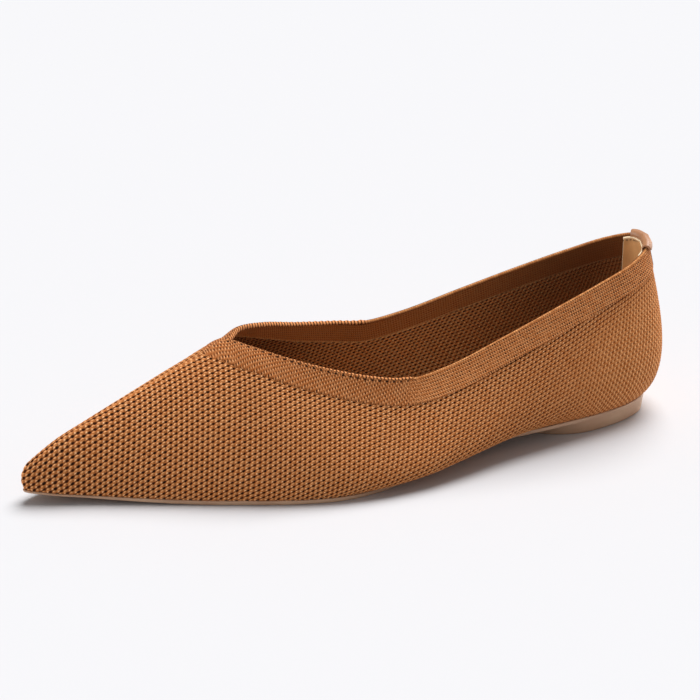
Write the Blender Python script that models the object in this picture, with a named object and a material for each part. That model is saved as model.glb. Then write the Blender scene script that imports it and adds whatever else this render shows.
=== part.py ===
# Pointed toe shoe for the left foot: a knitted upper with its collar band, a moulded sole with a low heel,
# an insole, a leather heel grip and a leather heel tab.
# Table lengths are millimetres: x runs from the heel's back to the toe, y to the outer side, z up.
import bmesh
import bpy
import numpy as np

METRES = 0.001

# The knitted wall and its collar band
WALL_THICK = 1.6
BAND_WIDTH = 9.8
BAND_STEP = 0.4
BAND_RAMP = 0.6
BAND_FADE = 7.0
RIM_ROUND = 0.5

# The space between pieces that meet
FIT_GAP = 0.3

# The moulded sole: a thin plate with an arch, a toe spring and a flat spot under the ball
SOLE_THICK = 1.7
SOLE_LEDGE = 0.4
SOLE_WAIST_INSET = 0.9
SOLE_WAIST_BACK = 58.0
SOLE_WAIST_FRONT = 132.0
SOLE_WAIST_EASE = 22.0
SOLE_EDGE_ROUND = 0.5
SOLE_TOE_THIN = 0.7
SOLE_THIN_START = 195.0
SOLE_THIN_LENGTH = 55.0
HEEL_RISE = 5.6
ARCH_FRONT = 134.0
ARCH_LENGTH = 88.0
SPRING_START = 190.0
SPRING_LENGTH = 65.5
TOE_SPRING = 3.2
SPRING_POWER = 1.6

# The heel block under the plate
HEEL_FLARE = 0.35
HEEL_EDGE_ROUND = 0.5
HEEL_JOIN = 0.8

# The insole inside the wall
INSOLE_THICK = 2.0
INSOLE_TOE_ROW = 15.9

# The leather patch inside the heel, in rows of the section table and shares of the wall's height
GRIP_THICK = 0.9
GRIP_ROWS = 1.5
GRIP_BOTTOM = 0.34
GRIP_TOP_DROP = 0.8

# The leather strip folded over the collar's back
TAB_THICK = 0.7
TAB_ROWS = 1.0
TAB_TAPER = 0.3
TAB_OUTER_LEG = 9.0
TAB_INNER_LEG = 0.4
TAB_UNDER_HEIGHT = 0.9
TAB_OVER_HEIGHT = 1.9

# How finely the surfaces are cut
RIB_SPACING = 4.6
TOE_RIB_SPACING = 1.5
LOW_STEPS = 8
BAND_STEPS = 3
SOLE_ACROSS = 6
HEEL_POINTS = 56
FOLD_STEPS = 6
LEG_STEPS = 3
TAB_POINTS = 9
GRIP_ACROSS = 25
GRIP_UP = 9
RIB_SAMPLES = 41
BAND_SAMPLES = 121
COLLAR_SAMPLES = 481
WELD = 0.00001

# The last, a row for each section from the heel's back to the toe's tip.
# foot, out, inn: place along the shoe of the wall's foot, its reach to the outer and the inner side.
# crest, shift, half, height: where the rib ends, on the collar or (half 0) on the ridge of the vamp.
# flare_out, flare_inn, rise: how the rib leaves its foot, outward on either side and up.
# shoulder, drop: how it comes to its crest. low_out: how much lower the outer side's collar is.
SECTION_COLUMNS = (
    "foot", "out", "inn", "crest", "shift", "half", "height", "flare_out", "flare_inn", "rise", "shoulder", "drop",
    "low_out",
)
SECTIONS = (
    (5.8, 0.0, 0.0, 6.3, -1.0, 0.0, 70.1, 13.2, 13.2, 11.5, 5.5, 24.0, 0.0),
    (9.0, 10.2, 10.2, 9.0, -0.6, 6.8, 69.9, 12.2, 12.2, 11.5, 5.5, 24.0, 1.6),
    (17.5, 16.0, 15.7, 17.5, -0.2, 11.4, 67.7, 10.4, 10.6, 12.0, 5.0, 24.0, 2.5),
    (32.0, 20.2, 19.7, 32.0, -0.5, 15.0, 63.1, 8.8, 8.8, 13.0, 5.0, 22.0, 2.5),
    (50.0, 22.6, 21.3, 50.0, -1.0, 18.4, 57.1, 10.7, 9.2, 8.5, 5.5, 20.0, 2.0),
    (75.0, 23.8, 20.5, 74.0, -1.5, 22.1, 49.0, 17.5, 11.5, 3.5, 6.0, 18.0, 1.5),
    (100.0, 28.6, 21.5, 98.0, -2.0, 25.0, 41.2, 22.0, 12.0, 2.5, 7.0, 16.0, 1.1),
    (115.0, 33.2, 24.0, 113.0, -2.5, 26.2, 38.3, 21.0, 11.0, 2.5, 7.0, 15.0, 0.7),
    (130.0, 37.6, 27.5, 126.0, -3.0, 25.6, 40.1, 15.0, 9.0, 3.5, 7.0, 14.0, 0.8),
    (145.0, 39.3, 31.5, 143.0, -4.0, 21.0, 43.9, 8.5, 6.5, 8.0, 7.0, 10.5, 0.8),
    (160.0, 36.9, 34.5, 158.5, -4.5, 14.5, 48.9, 5.0, 5.0, 12.0, 9.0, 8.0, 1.4),
    (171.0, 33.6, 35.0, 169.5, -5.0, 7.8, 51.5, 4.2, 4.2, 13.0, 12.6, 4.0, 0.9),
    (180.0, 30.5, 34.0, 176.5, -5.0, 0.0, 50.9, 3.6, 3.6, 13.0, 17.0, 2.0, 0.0),
    (198.0, 24.0, 29.5, 193.5, -5.0, 0.0, 43.9, 2.8, 2.8, 12.0, 12.6, 0.9, 0.0),
    (218.0, 16.4, 20.5, 213.0, -4.2, 0.0, 35.4, 2.3, 2.3, 9.0, 9.2, 0.3, 0.0),
    (236.0, 9.6, 11.5, 231.5, -2.6, 0.0, 27.9, 2.2, 2.2, 6.0, 6.0, 0.3, 0.0),
    (250.0, 4.5, 5.0, 245.5, -1.0, 0.0, 21.8, 2.2, 2.2, 5.0, 4.0, 0.4, 0.0),
    (257.4, 0.0, 0.0, 254.2, 0.0, 0.0, 16.6, 1.8, 1.8, 4.5, 3.0, 2.2, 0.0),
)
RING_COLUMNS = ("foot", "foot_y", "crest", "shift", "half", "height", "flare", "rise", "shoulder", "drop", "low")
THROAT_ROW = 12
TOE_ROW = len(SECTIONS) - 1
RING_ROWS = 2 * TOE_ROW
HEEL_TURN_START = 2.0
HEEL_TURN_ROWS = 3.0
TOE_TURN_ROWS = 1.0
SPACING_POWER = 0.8

# The heel block's outline on the floor, from its back to its rounded breast: place along the shoe, reach to a side.
HEEL_OUTLINE = (
    (6.0, 0.0),
    (9.0, 9.8),
    (17.2, 15.4),
    (30.0, 19.5),
    (40.0, 20.7),
    (50.0, 18.6),
    (58.0, 14.0),
    (63.5, 7.5),
    (65.5, 0.0),
)

COLOURS = {
    "upper": (0.36, 0.15, 0.055, 1.0),
    "sole": (0.33, 0.23, 0.16, 1.0),
    "insole": (0.42, 0.24, 0.12, 1.0),
    "heel_grip": (0.50, 0.27, 0.12, 1.0),
    "heel_tab": (0.42, 0.20, 0.09, 1.0),
}
ROUGHNESS = 0.6


def smooth_ring(rows, gaps, where):
    """Values at places round a closed ring of rows: a cubic through the rows, for uneven steps between them."""
    count = len(rows)
    first = np.floor(where).astype(int)
    share = (where - first)[:, None]
    before, here, after, beyond = (rows[(first + k) % count] for k in (-1, 0, 1, 2))
    gap_before, gap_here, gap_after = (gaps[(first + k) % count][:, None] for k in (-1, 0, 1))
    slope_before = (here - before) / gap_before
    slope_here = (after - here) / gap_here
    slope_after = (beyond - after) / gap_after
    leave = (slope_before * gap_here + slope_here * gap_before) / (gap_before + gap_here) * gap_here
    arrive = (slope_here * gap_after + slope_after * gap_here) / (gap_here + gap_after) * gap_here
    square = share**2
    cube = share**3
    return (
        (2 * cube - 3 * square + 1) * here
        + (cube - 2 * square + share) * leave
        + (3 * square - 2 * cube) * after
        + (cube - square) * arrive
    )


def section_ring():
    """The sections as one closed ring, along the outer side to the toe and back along the inner side."""
    outer = [dict(zip(SECTION_COLUMNS, row)) for row in SECTIONS]
    inner = outer[TOE_ROW - 1 : 0 : -1]
    rows = []
    for side, reach, sections in ((1.0, "out", outer), (-1.0, "inn", inner)):
        for section in sections:
            sided = dict(section, foot_y=side * section[reach], half=side * section["half"])
            sided["flare"] = section["flare_" + reach]
            sided["low"] = section["low_out"] if side > 0 else 0.0
            rows.append([sided[name] for name in RING_COLUMNS])
    table = np.array(SECTIONS)
    middle_reach = (table[:, 1] + table[:, 2]) / 2
    gaps = np.hypot(np.diff(table[:, 0]), np.diff(middle_reach)) ** SPACING_POWER
    return np.array(rows), np.concatenate([gaps, gaps[::-1]])


SECTION_ROWS, SECTION_GAPS = section_ring()


def ring_values(where):
    """The section columns at places of the ring, as a dictionary; foot_y is signed, to the outer side."""
    values = smooth_ring(SECTION_ROWS, SECTION_GAPS, where)
    return {name: values[:, k] for k, name in enumerate(RING_COLUMNS)}


def ring_row(where):
    """The table row of each place, counted from the heel on both sides, and its side (1 outer, -1 inner)."""
    place = np.mod(where, RING_ROWS)
    outer = place <= TOE_ROW
    return np.where(outer, place, RING_ROWS - place), np.where(outer, 1.0, -1.0)


def smooth_step(share):
    """0 to 1 with level ends."""
    share = np.clip(share, 0.0, 1.0)
    return share * share * (3.0 - 2.0 * share)


def floor_line(station):
    """Height of the plate's underside: the heel's rise, the flat spot under the ball and the toe spring."""
    arch = HEEL_RISE * smooth_step((ARCH_FRONT - station) / ARCH_LENGTH)
    spring = TOE_SPRING * np.clip((station - SPRING_START) / SPRING_LENGTH, 0.0, None) ** SPRING_POWER
    return arch + spring


def sole_underside(station):
    """Height of the plate's underside, which thins towards the toe."""
    return floor_line(station) + SOLE_TOE_THIN * smooth_step((station - SOLE_THIN_START) / SOLE_THIN_LENGTH)


def sole_top(station):
    """Height of the plate's upper face."""
    return floor_line(station) + SOLE_THICK


def foot_height(station):
    """Height of the wall's foot, a fit gap above the plate."""
    return sole_top(station) + FIT_GAP


def insole_top(station):
    """Height of the insole's upper face."""
    return foot_height(station) + INSOLE_THICK


def outline_normal(where):
    """Outward direction of the foot's outline in plan."""
    small = 0.001
    ahead = smooth_ring(SECTION_ROWS, SECTION_GAPS, where + small)[:, :2]
    behind = smooth_ring(SECTION_ROWS, SECTION_GAPS, where - small)[:, :2]
    run = ahead - behind
    normal = np.stack([-run[:, 1], run[:, 0]], axis=-1)
    return normal / np.linalg.norm(normal, axis=1, keepdims=True)


def outline(where, reach):
    """The foot's outline in plan, moved outward by a reach."""
    values = ring_values(where)
    plan = np.stack([values["foot"], values["foot_y"]], axis=-1)
    return plan + outline_normal(where) * reach


def wall(where, share):
    """Points of the wall: a cubic rib at each place, share 0 at its foot and 1 at its crest."""
    values = ring_values(where)
    row, side = ring_row(where)
    half = np.where(row >= THROAT_ROW, 0.0, side * np.maximum(side * values["half"], 0.0))
    height = values["height"] - np.where(row >= THROAT_ROW, 0.0, np.maximum(values["low"], 0.0))
    foot = np.stack([values["foot"], values["foot_y"], foot_height(values["foot"])], axis=-1)
    crest = np.stack([values["crest"], values["shift"] + half, height], axis=-1)
    normal = outline_normal(where)
    sideways = smooth_step((row - HEEL_TURN_START) / HEEL_TURN_ROWS) * smooth_step((TOE_ROW - row) / TOE_TURN_ROWS)
    top = np.stack([normal[:, 0] * (1.0 - sideways), normal[:, 1]], axis=-1)
    top = top / np.linalg.norm(top, axis=1, keepdims=True)
    leave = foot.copy()
    leave[:, :2] += normal * values["flare"][:, None]
    leave[:, 2] += values["rise"]
    arrive = crest.copy()
    arrive[:, :2] += top * values["shoulder"][:, None]
    arrive[:, 2] -= values["drop"]
    share = share[:, :, None]
    rest = 1.0 - share
    return (
        rest**3 * foot[:, None]
        + 3 * rest**2 * share * leave[:, None]
        + 3 * rest * share**2 * arrive[:, None]
        + share**3 * crest[:, None]
    )


def wall_normal(where, share):
    """Outward normals of the wall; level at the foot and shared by both sides along the ridge."""
    small = 0.0005
    near_crest = 0.98
    level = np.minimum(share, near_crest)
    along = wall(where + small, level) - wall(where - small, level)
    upward = wall(where, np.minimum(share + small, 1.0)) - wall(where, np.maximum(share - small, 0.0))
    normal = np.cross(upward, along)
    normal[share == 0.0, 2] = 0.0
    normal = normal / np.linalg.norm(normal, axis=2, keepdims=True)
    row, _ = ring_row(where)
    ridge = np.flatnonzero(row >= THROAT_ROW)
    shared = normal[ridge, -1] + normal[ridge[::-1], -1]
    shared = shared / np.linalg.norm(shared, axis=1, keepdims=True)
    on_ridge = (share[ridge] == 1.0)[:, :, None]
    normal[ridge] = np.where(on_ridge, shared[:, None], normal[ridge])
    return normal


def rib_places():
    """Places of the ribs round the ring, close to the spacing, the same on both sides."""
    rows = []
    for first in range(TOE_ROW):
        ends = wall(np.array([first, first + 1.0]), np.array([[0.0, 0.5], [0.0, 0.5]]))
        length = np.linalg.norm(ends[1] - ends[0], axis=1).max()
        spacing = TOE_RIB_SPACING if first == TOE_ROW - 1 else RIB_SPACING
        count = int(np.ceil(length / spacing))
        rows.extend(first + np.arange(count) / count)
    rows = np.array(rows)
    return np.concatenate([rows, [TOE_ROW], RING_ROWS - rows[:0:-1]])


def rib_lengths(where):
    """Length of each rib from its foot to its crest."""
    share = np.tile(np.linspace(0.0, 1.0, RIB_SAMPLES), (len(where), 1))
    return np.linalg.norm(np.diff(wall(where, share), axis=1), axis=2).sum(axis=1)


def band_start(where):
    """Share of each rib's height where the collar band begins, and how wide the band is at its crest."""
    shares = np.linspace(0.0, 1.0, BAND_SAMPLES)
    ribs = wall(where, np.tile(shares, (len(where), 1)))
    throat = float(THROAT_ROW)
    collar_places = np.linspace(-throat, throat, COLLAR_SAMPLES)
    collar = wall(collar_places, np.ones((len(collar_places), 1)))[:, 0]
    away = np.linalg.norm(ribs[:, :, None] - collar[None, None], axis=3).min(axis=2)
    starts = np.ones(len(where))
    for k, distance in enumerate(away):
        outside = np.flatnonzero(distance >= BAND_WIDTH)
        last = outside[-1]
        if last < len(shares) - 1:
            part = (distance[last] - BAND_WIDTH) / (distance[last] - distance[last + 1])
            starts[k] = shares[last] + part * (shares[last + 1] - shares[last])
    return starts, BAND_WIDTH - away[:, -1]


def new_object(name, bm):
    """A mesh object with its own material from a bmesh in millimetres; doubled points are welded."""
    bmesh.ops.scale(bm, vec=(METRES, METRES, METRES), verts=bm.verts)
    bmesh.ops.remove_doubles(bm, verts=bm.verts, dist=WELD)
    bmesh.ops.dissolve_degenerate(bm, edges=bm.edges, dist=WELD)
    bmesh.ops.recalc_face_normals(bm, faces=bm.faces)
    mesh = bpy.data.meshes.new(name)
    bm.to_mesh(mesh)
    bm.free()
    piece = bpy.data.objects.new(name, mesh)
    bpy.context.scene.collection.objects.link(piece)
    material = bpy.data.materials.new(name)
    material.use_nodes = True
    shader = material.node_tree.nodes["Principled BSDF"]
    shader.inputs["Base Color"].default_value = COLOURS[name]
    shader.inputs["Roughness"].default_value = ROUGHNESS
    mesh.materials.append(material)
    return piece


def add_points(bm, grid):
    """A grid of points as rows of vertices."""
    return [[bm.verts.new(point) for point in row] for row in grid]


def add_strip(bm, first, second):
    """Faces between two rows of vertices of equal length."""
    for a, b, c, d in zip(first, first[1:], second[1:], second):
        bm.faces.new((a, b, c, d))


def column(grid, index):
    """One column of a grid of vertices."""
    return [row[index] for row in grid]


def plate_solid(bm, loops):
    """The rings of a solid through closed loops of points, each joined to the next."""
    rings = add_points(bm, loops)
    for first, second in zip(rings, rings[1:]):
        add_strip(bm, first + first[:1], second + second[:1])
    return rings


def curved_plate(bm, outer_face, inner_face):
    """A solid between two grids of points, closed round all four edges."""
    outer = add_points(bm, outer_face)
    inner = add_points(bm, inner_face)
    for grid in (outer, inner):
        for first, second in zip(grid, grid[1:]):
            add_strip(bm, first, second)
    add_strip(bm, outer[0], inner[0])
    add_strip(bm, outer[-1], inner[-1])
    add_strip(bm, column(outer, 0), column(inner, 0))
    add_strip(bm, column(outer, -1), column(inner, -1))


def build_upper():
    """The knitted shell: ribs of the last, with the band a step in its wall, open at the collar and underneath."""
    where = rib_places()
    starts, crest_width = band_start(where)
    lengths = rib_lengths(where)
    low = starts[:, None] * np.linspace(0.0, 1.0, LOW_STEPS + 1)[None]
    ramp = np.minimum(starts + BAND_RAMP / lengths, 1.0)
    high = ramp[:, None] + (1.0 - ramp)[:, None] * np.linspace(0.0, 1.0, BAND_STEPS + 1)[None]
    share = np.concatenate([low, high], axis=1)
    fade = np.clip(crest_width / BAND_FADE, 0.0, 1.0)
    step = np.zeros_like(share)
    step[:, LOW_STEPS + 1 :] = BAND_STEP * fade[:, None]
    points = wall(where, share)
    normal = wall_normal(where, share)
    outer = points + normal * step[:, :, None]
    inner = points - normal * WALL_THICK
    row, _ = ring_row(where)
    rim = (outer[:, -1] + inner[:, -1]) / 2
    rim[:, 2] += RIM_ROUND

    bm = bmesh.new()
    outer_grid = add_points(bm, outer)
    inner_grid = add_points(bm, inner)
    rim_row = [bm.verts.new(point) for point in rim]
    count = len(where)
    for k in range(count):
        following = (k + 1) % count
        add_strip(bm, outer_grid[k], outer_grid[following])
        add_strip(bm, inner_grid[k], inner_grid[following])
        add_strip(bm, [outer_grid[k][0], inner_grid[k][0]], [outer_grid[following][0], inner_grid[following][0]])
        if max(row[k], row[following]) <= THROAT_ROW:
            top = [outer_grid[k][-1], rim_row[k], inner_grid[k][-1]]
            next_top = [outer_grid[following][-1], rim_row[following], inner_grid[following][-1]]
            add_strip(bm, top, next_top)
    bmesh.ops.delete(bm, geom=[vert for vert in rim_row if not vert.link_faces], context="VERTS")
    return new_object("upper", bm)


def waist_share(station):
    """1 along the waist, where the wall overhangs the plate, and 0 at the heel and the ball."""
    behind = smooth_step((station - SOLE_WAIST_BACK) / SOLE_WAIST_EASE)
    ahead = smooth_step((SOLE_WAIST_FRONT - station) / SOLE_WAIST_EASE)
    return behind * ahead


def plate_loops(rows, reach_top, reach_bottom, waist_inset, edge_round, bottom_height, top_height):
    """Cross loops of a plate that follows the foot's outline, with a rounded lower edge."""
    values = ring_values(rows)
    bottom = bottom_height(values["foot"])
    top = top_height(values["foot"])
    waist = waist_inset * waist_share(values["foot"])
    across = np.linspace(0.0, 1.0, SOLE_ACROSS + 1)
    sides = {}
    for reach in (reach_top, reach_bottom):
        drawn = (reach - waist)[:, None]
        sides[reach] = (outline(rows, drawn), outline(RING_ROWS - rows, drawn))

    def level(reach, shares, height):
        outer, inner = sides[reach]
        plan = outer[:, None] + (inner - outer)[:, None] * shares[None, :, None]
        return np.concatenate([plan, np.repeat(height[:, None, None], len(shares), axis=1)], axis=2)

    upper_face = level(reach_top, across, top)
    inner_edge = level(reach_top, across[-1:], bottom + edge_round)
    lower_face = level(reach_bottom, across[::-1], bottom)
    outer_edge = level(reach_top, across[:1], bottom + edge_round)
    return np.concatenate([upper_face, inner_edge, lower_face, outer_edge], axis=1)


def side_rows():
    """The rows of one side's ribs, from the heel to the toe."""
    where = rib_places()
    return where[where <= TOE_ROW]


def heel_block():
    """The low heel under the plate: an oval block, flush with the plate at the back, its breast rounded."""
    side = np.array(HEEL_OUTLINE)
    mirrored = side[-2:0:-1] * np.array([1.0, -1.0])
    rows = np.concatenate([side, mirrored])
    gaps = np.linalg.norm(np.roll(rows, -1, axis=0) - rows, axis=1)
    where = np.arange(HEEL_POINTS) * len(rows) / HEEL_POINTS
    plan = smooth_ring(rows, gaps, where)
    run = np.roll(plan, -1, axis=0) - np.roll(plan, 1, axis=0)
    normal = np.stack([-run[:, 1], run[:, 0]], axis=-1)
    normal = normal / np.linalg.norm(normal, axis=1, keepdims=True)
    levels = (
        (-HEEL_EDGE_ROUND, 0.0),
        (0.0, HEEL_EDGE_ROUND),
        (HEEL_FLARE, HEEL_RISE - HEEL_EDGE_ROUND),
        (HEEL_FLARE, HEEL_RISE + HEEL_JOIN),
    )
    loops = []
    for reach, height in levels:
        ring = plan + normal * reach
        top = np.full(len(ring), height)
        if height > HEEL_RISE:
            top = floor_line(ring[:, 0]) + HEEL_JOIN
        loops.append(np.concatenate([ring, top[:, None]], axis=1))
    return loops


def build_sole():
    """The moulded sole: the plate joined with its heel block."""
    bm = bmesh.new()
    plate_solid(bm, plate_loops(side_rows(), SOLE_LEDGE, SOLE_LEDGE - SOLE_EDGE_ROUND, SOLE_WAIST_INSET,
                                SOLE_EDGE_ROUND, sole_underside, sole_top))
    sole = new_object("sole", bm)
    bm = bmesh.new()
    rings = plate_solid(bm, heel_block())
    bm.faces.new(rings[0])
    bm.faces.new(rings[-1])
    bmesh.ops.scale(bm, vec=(METRES, METRES, METRES), verts=bm.verts)
    bmesh.ops.recalc_face_normals(bm, faces=bm.faces)
    mesh = bpy.data.meshes.new("heel_cutter")
    bm.to_mesh(mesh)
    bm.free()
    heel = bpy.data.objects.new("heel_cutter", mesh)
    bpy.context.scene.collection.objects.link(heel)
    heel.hide_render = True
    heel.display_type = "WIRE"
    join = sole.modifiers.new("heel", "BOOLEAN")
    join.operation = "UNION"
    join.solver = "EXACT"
    join.object = heel
    return sole


def build_insole():
    """The footbed, inside the wall and on the plate."""
    inset = -(WALL_THICK + FIT_GAP)
    rows = side_rows()
    rows = np.append(rows[rows < INSOLE_TOE_ROW], INSOLE_TOE_ROW)
    bm = bmesh.new()
    rings = plate_solid(bm, plate_loops(rows, inset, inset, 0.0, SOLE_EDGE_ROUND, foot_height, insole_top))
    bm.faces.new(rings[-1])
    return new_object("insole", bm)


def build_heel_grip():
    """The leather patch inside the heel, a fit gap off the wall and just under the collar's edge."""
    where = np.linspace(-GRIP_ROWS, GRIP_ROWS, GRIP_ACROSS)
    lengths = rib_lengths(where)
    top = 1.0 - GRIP_TOP_DROP / lengths
    share = GRIP_BOTTOM + (top - GRIP_BOTTOM)[:, None] * np.linspace(0.0, 1.0, GRIP_UP)[None]
    points = wall(where, share)
    normal = wall_normal(where, share)
    back = points - normal * (WALL_THICK + FIT_GAP)
    front = back - normal * GRIP_THICK
    bm = bmesh.new()
    curved_plate(bm, back, front)
    return new_object("heel_grip", bm)


def tab_row(down, half_rows, offset):
    """A row of points across the strip, a length down from the collar's edge, off the wall by an offset."""
    where = np.linspace(-half_rows, half_rows, TAB_POINTS)
    share = (1.0 - down / rib_lengths(where))[:, None]
    return (wall(where, share) + wall_normal(where, share) * offset)[:, 0]


def tab_face(outside, inside, height):
    """One face of the folded strip: up the outer leg, over the collar's edge and down the inner leg."""
    legs = np.linspace(1.0, 0.0, LEG_STEPS + 1)[:-1]
    rows = []
    for leg in legs:
        rows.append(tab_row(leg * TAB_OUTER_LEG, TAB_ROWS * (1.0 - leg * TAB_TAPER), outside))
    where = np.linspace(-TAB_ROWS, TAB_ROWS, TAB_POINTS)
    ends = np.ones((TAB_POINTS, 1))
    crest = wall(where, ends)[:, 0]
    normal = wall_normal(where, ends)[:, 0]
    just_below = 0.99
    upward = crest - wall(where, ends * just_below)[:, 0]
    upward = upward / np.linalg.norm(upward, axis=1, keepdims=True)
    middle = (outside - inside) / 2
    reach = (outside + inside) / 2
    for turn in np.linspace(0.0, np.pi, FOLD_STEPS + 1):
        rows.append(crest + normal * (middle + reach * np.cos(turn)) + upward * (height * np.sin(turn)))
    for leg in legs[::-1]:
        rows.append(tab_row(leg * TAB_INNER_LEG, TAB_ROWS, -inside))
    return np.array(rows)


def build_heel_tab():
    """The leather strip folded over the collar's back, standing a little above it."""
    outside = BAND_STEP + FIT_GAP
    inside = WALL_THICK + FIT_GAP
    under = tab_face(outside, inside, TAB_UNDER_HEIGHT)
    over = tab_face(outside + TAB_THICK, inside + TAB_THICK, TAB_OVER_HEIGHT)
    bm = bmesh.new()
    curved_plate(bm, over, under)
    return new_object("heel_tab", bm)


def settle(pieces):
    """Moves all points so that the shoe's box stands on the floor with its middle over the origin."""
    corners = np.concatenate([[vert.co[:] for vert in piece.data.vertices] for piece in pieces])
    low = corners.min(axis=0)
    high = corners.max(axis=0)
    middle = (low + high) / 2
    for piece in list(bpy.data.objects):
        for vert in piece.data.vertices:
            vert.co.x -= middle[0]
            vert.co.y -= middle[1]


def main():
    """Builds the pieces."""
    for old in list(bpy.data.objects):
        bpy.data.objects.remove(old, do_unlink=True)
    pieces = [build_upper(), build_sole(), build_insole(), build_heel_grip(), build_heel_tab()]
    settle(pieces)


main()
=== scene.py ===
"""Looks of a knitted pointed toe shoe for the left foot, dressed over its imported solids.

Lengths are millimetres in the shoe's own frame: x from the heel's back to the toe, y to the outer side, z up.
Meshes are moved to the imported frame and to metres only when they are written.
"""
import logging
from dataclasses import dataclass, field
from enum import Enum
from functools import reduce
from typing import Sequence

import bpy
import numpy as np
from mathutils import Matrix


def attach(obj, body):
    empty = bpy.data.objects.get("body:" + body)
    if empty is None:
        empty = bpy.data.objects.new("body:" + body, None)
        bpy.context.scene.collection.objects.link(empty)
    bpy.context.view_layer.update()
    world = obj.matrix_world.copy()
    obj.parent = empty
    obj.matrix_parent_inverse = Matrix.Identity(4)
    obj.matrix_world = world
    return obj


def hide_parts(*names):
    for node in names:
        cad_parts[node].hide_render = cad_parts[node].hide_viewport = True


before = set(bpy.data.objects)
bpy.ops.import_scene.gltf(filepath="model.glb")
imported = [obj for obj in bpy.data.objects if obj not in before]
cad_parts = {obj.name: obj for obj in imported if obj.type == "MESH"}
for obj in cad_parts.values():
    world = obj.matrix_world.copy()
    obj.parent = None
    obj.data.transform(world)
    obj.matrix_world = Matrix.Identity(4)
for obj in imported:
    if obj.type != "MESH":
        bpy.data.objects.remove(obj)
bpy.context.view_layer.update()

LOG = logging.getLogger("shoe")
METRES = 0.001

# A pair is the two ends of a range. A ramp is where a change begins and ends, and its results there.
Array = np.ndarray
Colour = tuple[float, float, float]
Pair = tuple[float, float]
Ramp = tuple[float, float, float, float]
Socket = bpy.types.NodeSocket


class Side(Enum):
    """The two sides of the shoe; the value is the sign of y there."""

    OUTER = 1.0
    INNER = -1.0


class Slot(Enum):
    """The record's material slots."""

    KNIT = "knit"
    SOLE = "sole"
    INSOLE = "insole"
    GRIP = "grip_leather"
    TAB = "tab_leather"


def smooth_step(share: Array) -> Array:
    """0 to 1 with level ends: the cubic 3s^2 - 2s^3 of the share held between 0 and 1."""
    held = np.clip(share, 0.0, 1.0)
    return held * held * (3.0 - 2.0 * held)


def unit(vectors: Array) -> Array:
    """Vectors divided by their lengths."""
    return vectors / np.linalg.norm(vectors, axis=-1, keepdims=True)


def run_lengths(points: Array, axis: int = 0) -> Array:
    """Length from the first point to each point along one axis of an array of points.

    Args:
        points: positions, with x, y, z in the last axis.
        axis: the axis that the path runs along.

    Returns:
        The sum of the straight steps up to each point.
    """
    steps = np.linalg.norm(np.diff(points, axis=axis), axis=-1)
    start = np.zeros_like(np.take(steps, [0], axis=axis))
    return np.concatenate([start, np.cumsum(steps, axis=axis)], axis=axis)


def blend(low: Array, high: Array, share: Array) -> Array:
    """The value at a share of the way from low to high."""
    return low + (high - low) * share


def raised(plan: Array, height: Array) -> Array:
    """Points in plan with a height each, or one height for all."""
    heights = np.broadcast_to(height, plan.shape[:-1])
    return np.concatenate([plan, heights[..., None]], axis=-1)


def rounded_loop(count: int, corner: float) -> tuple[Array, Array]:
    """A flat oval loop with blunt ends: across from -1 to 1 and through from -1 to 1.

    Args:
        count: points round the loop.
        corner: power of the cosine and sine, smaller for a squarer loop.

    Returns:
        The place across and the place through the thickness at each point.
    """
    turn = np.linspace(0.0, 2.0 * np.pi, count, endpoint=False)
    across, through = (np.sign(wave) * np.abs(wave) ** corner for wave in (np.cos(turn), np.sin(turn)))
    return across, through


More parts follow.
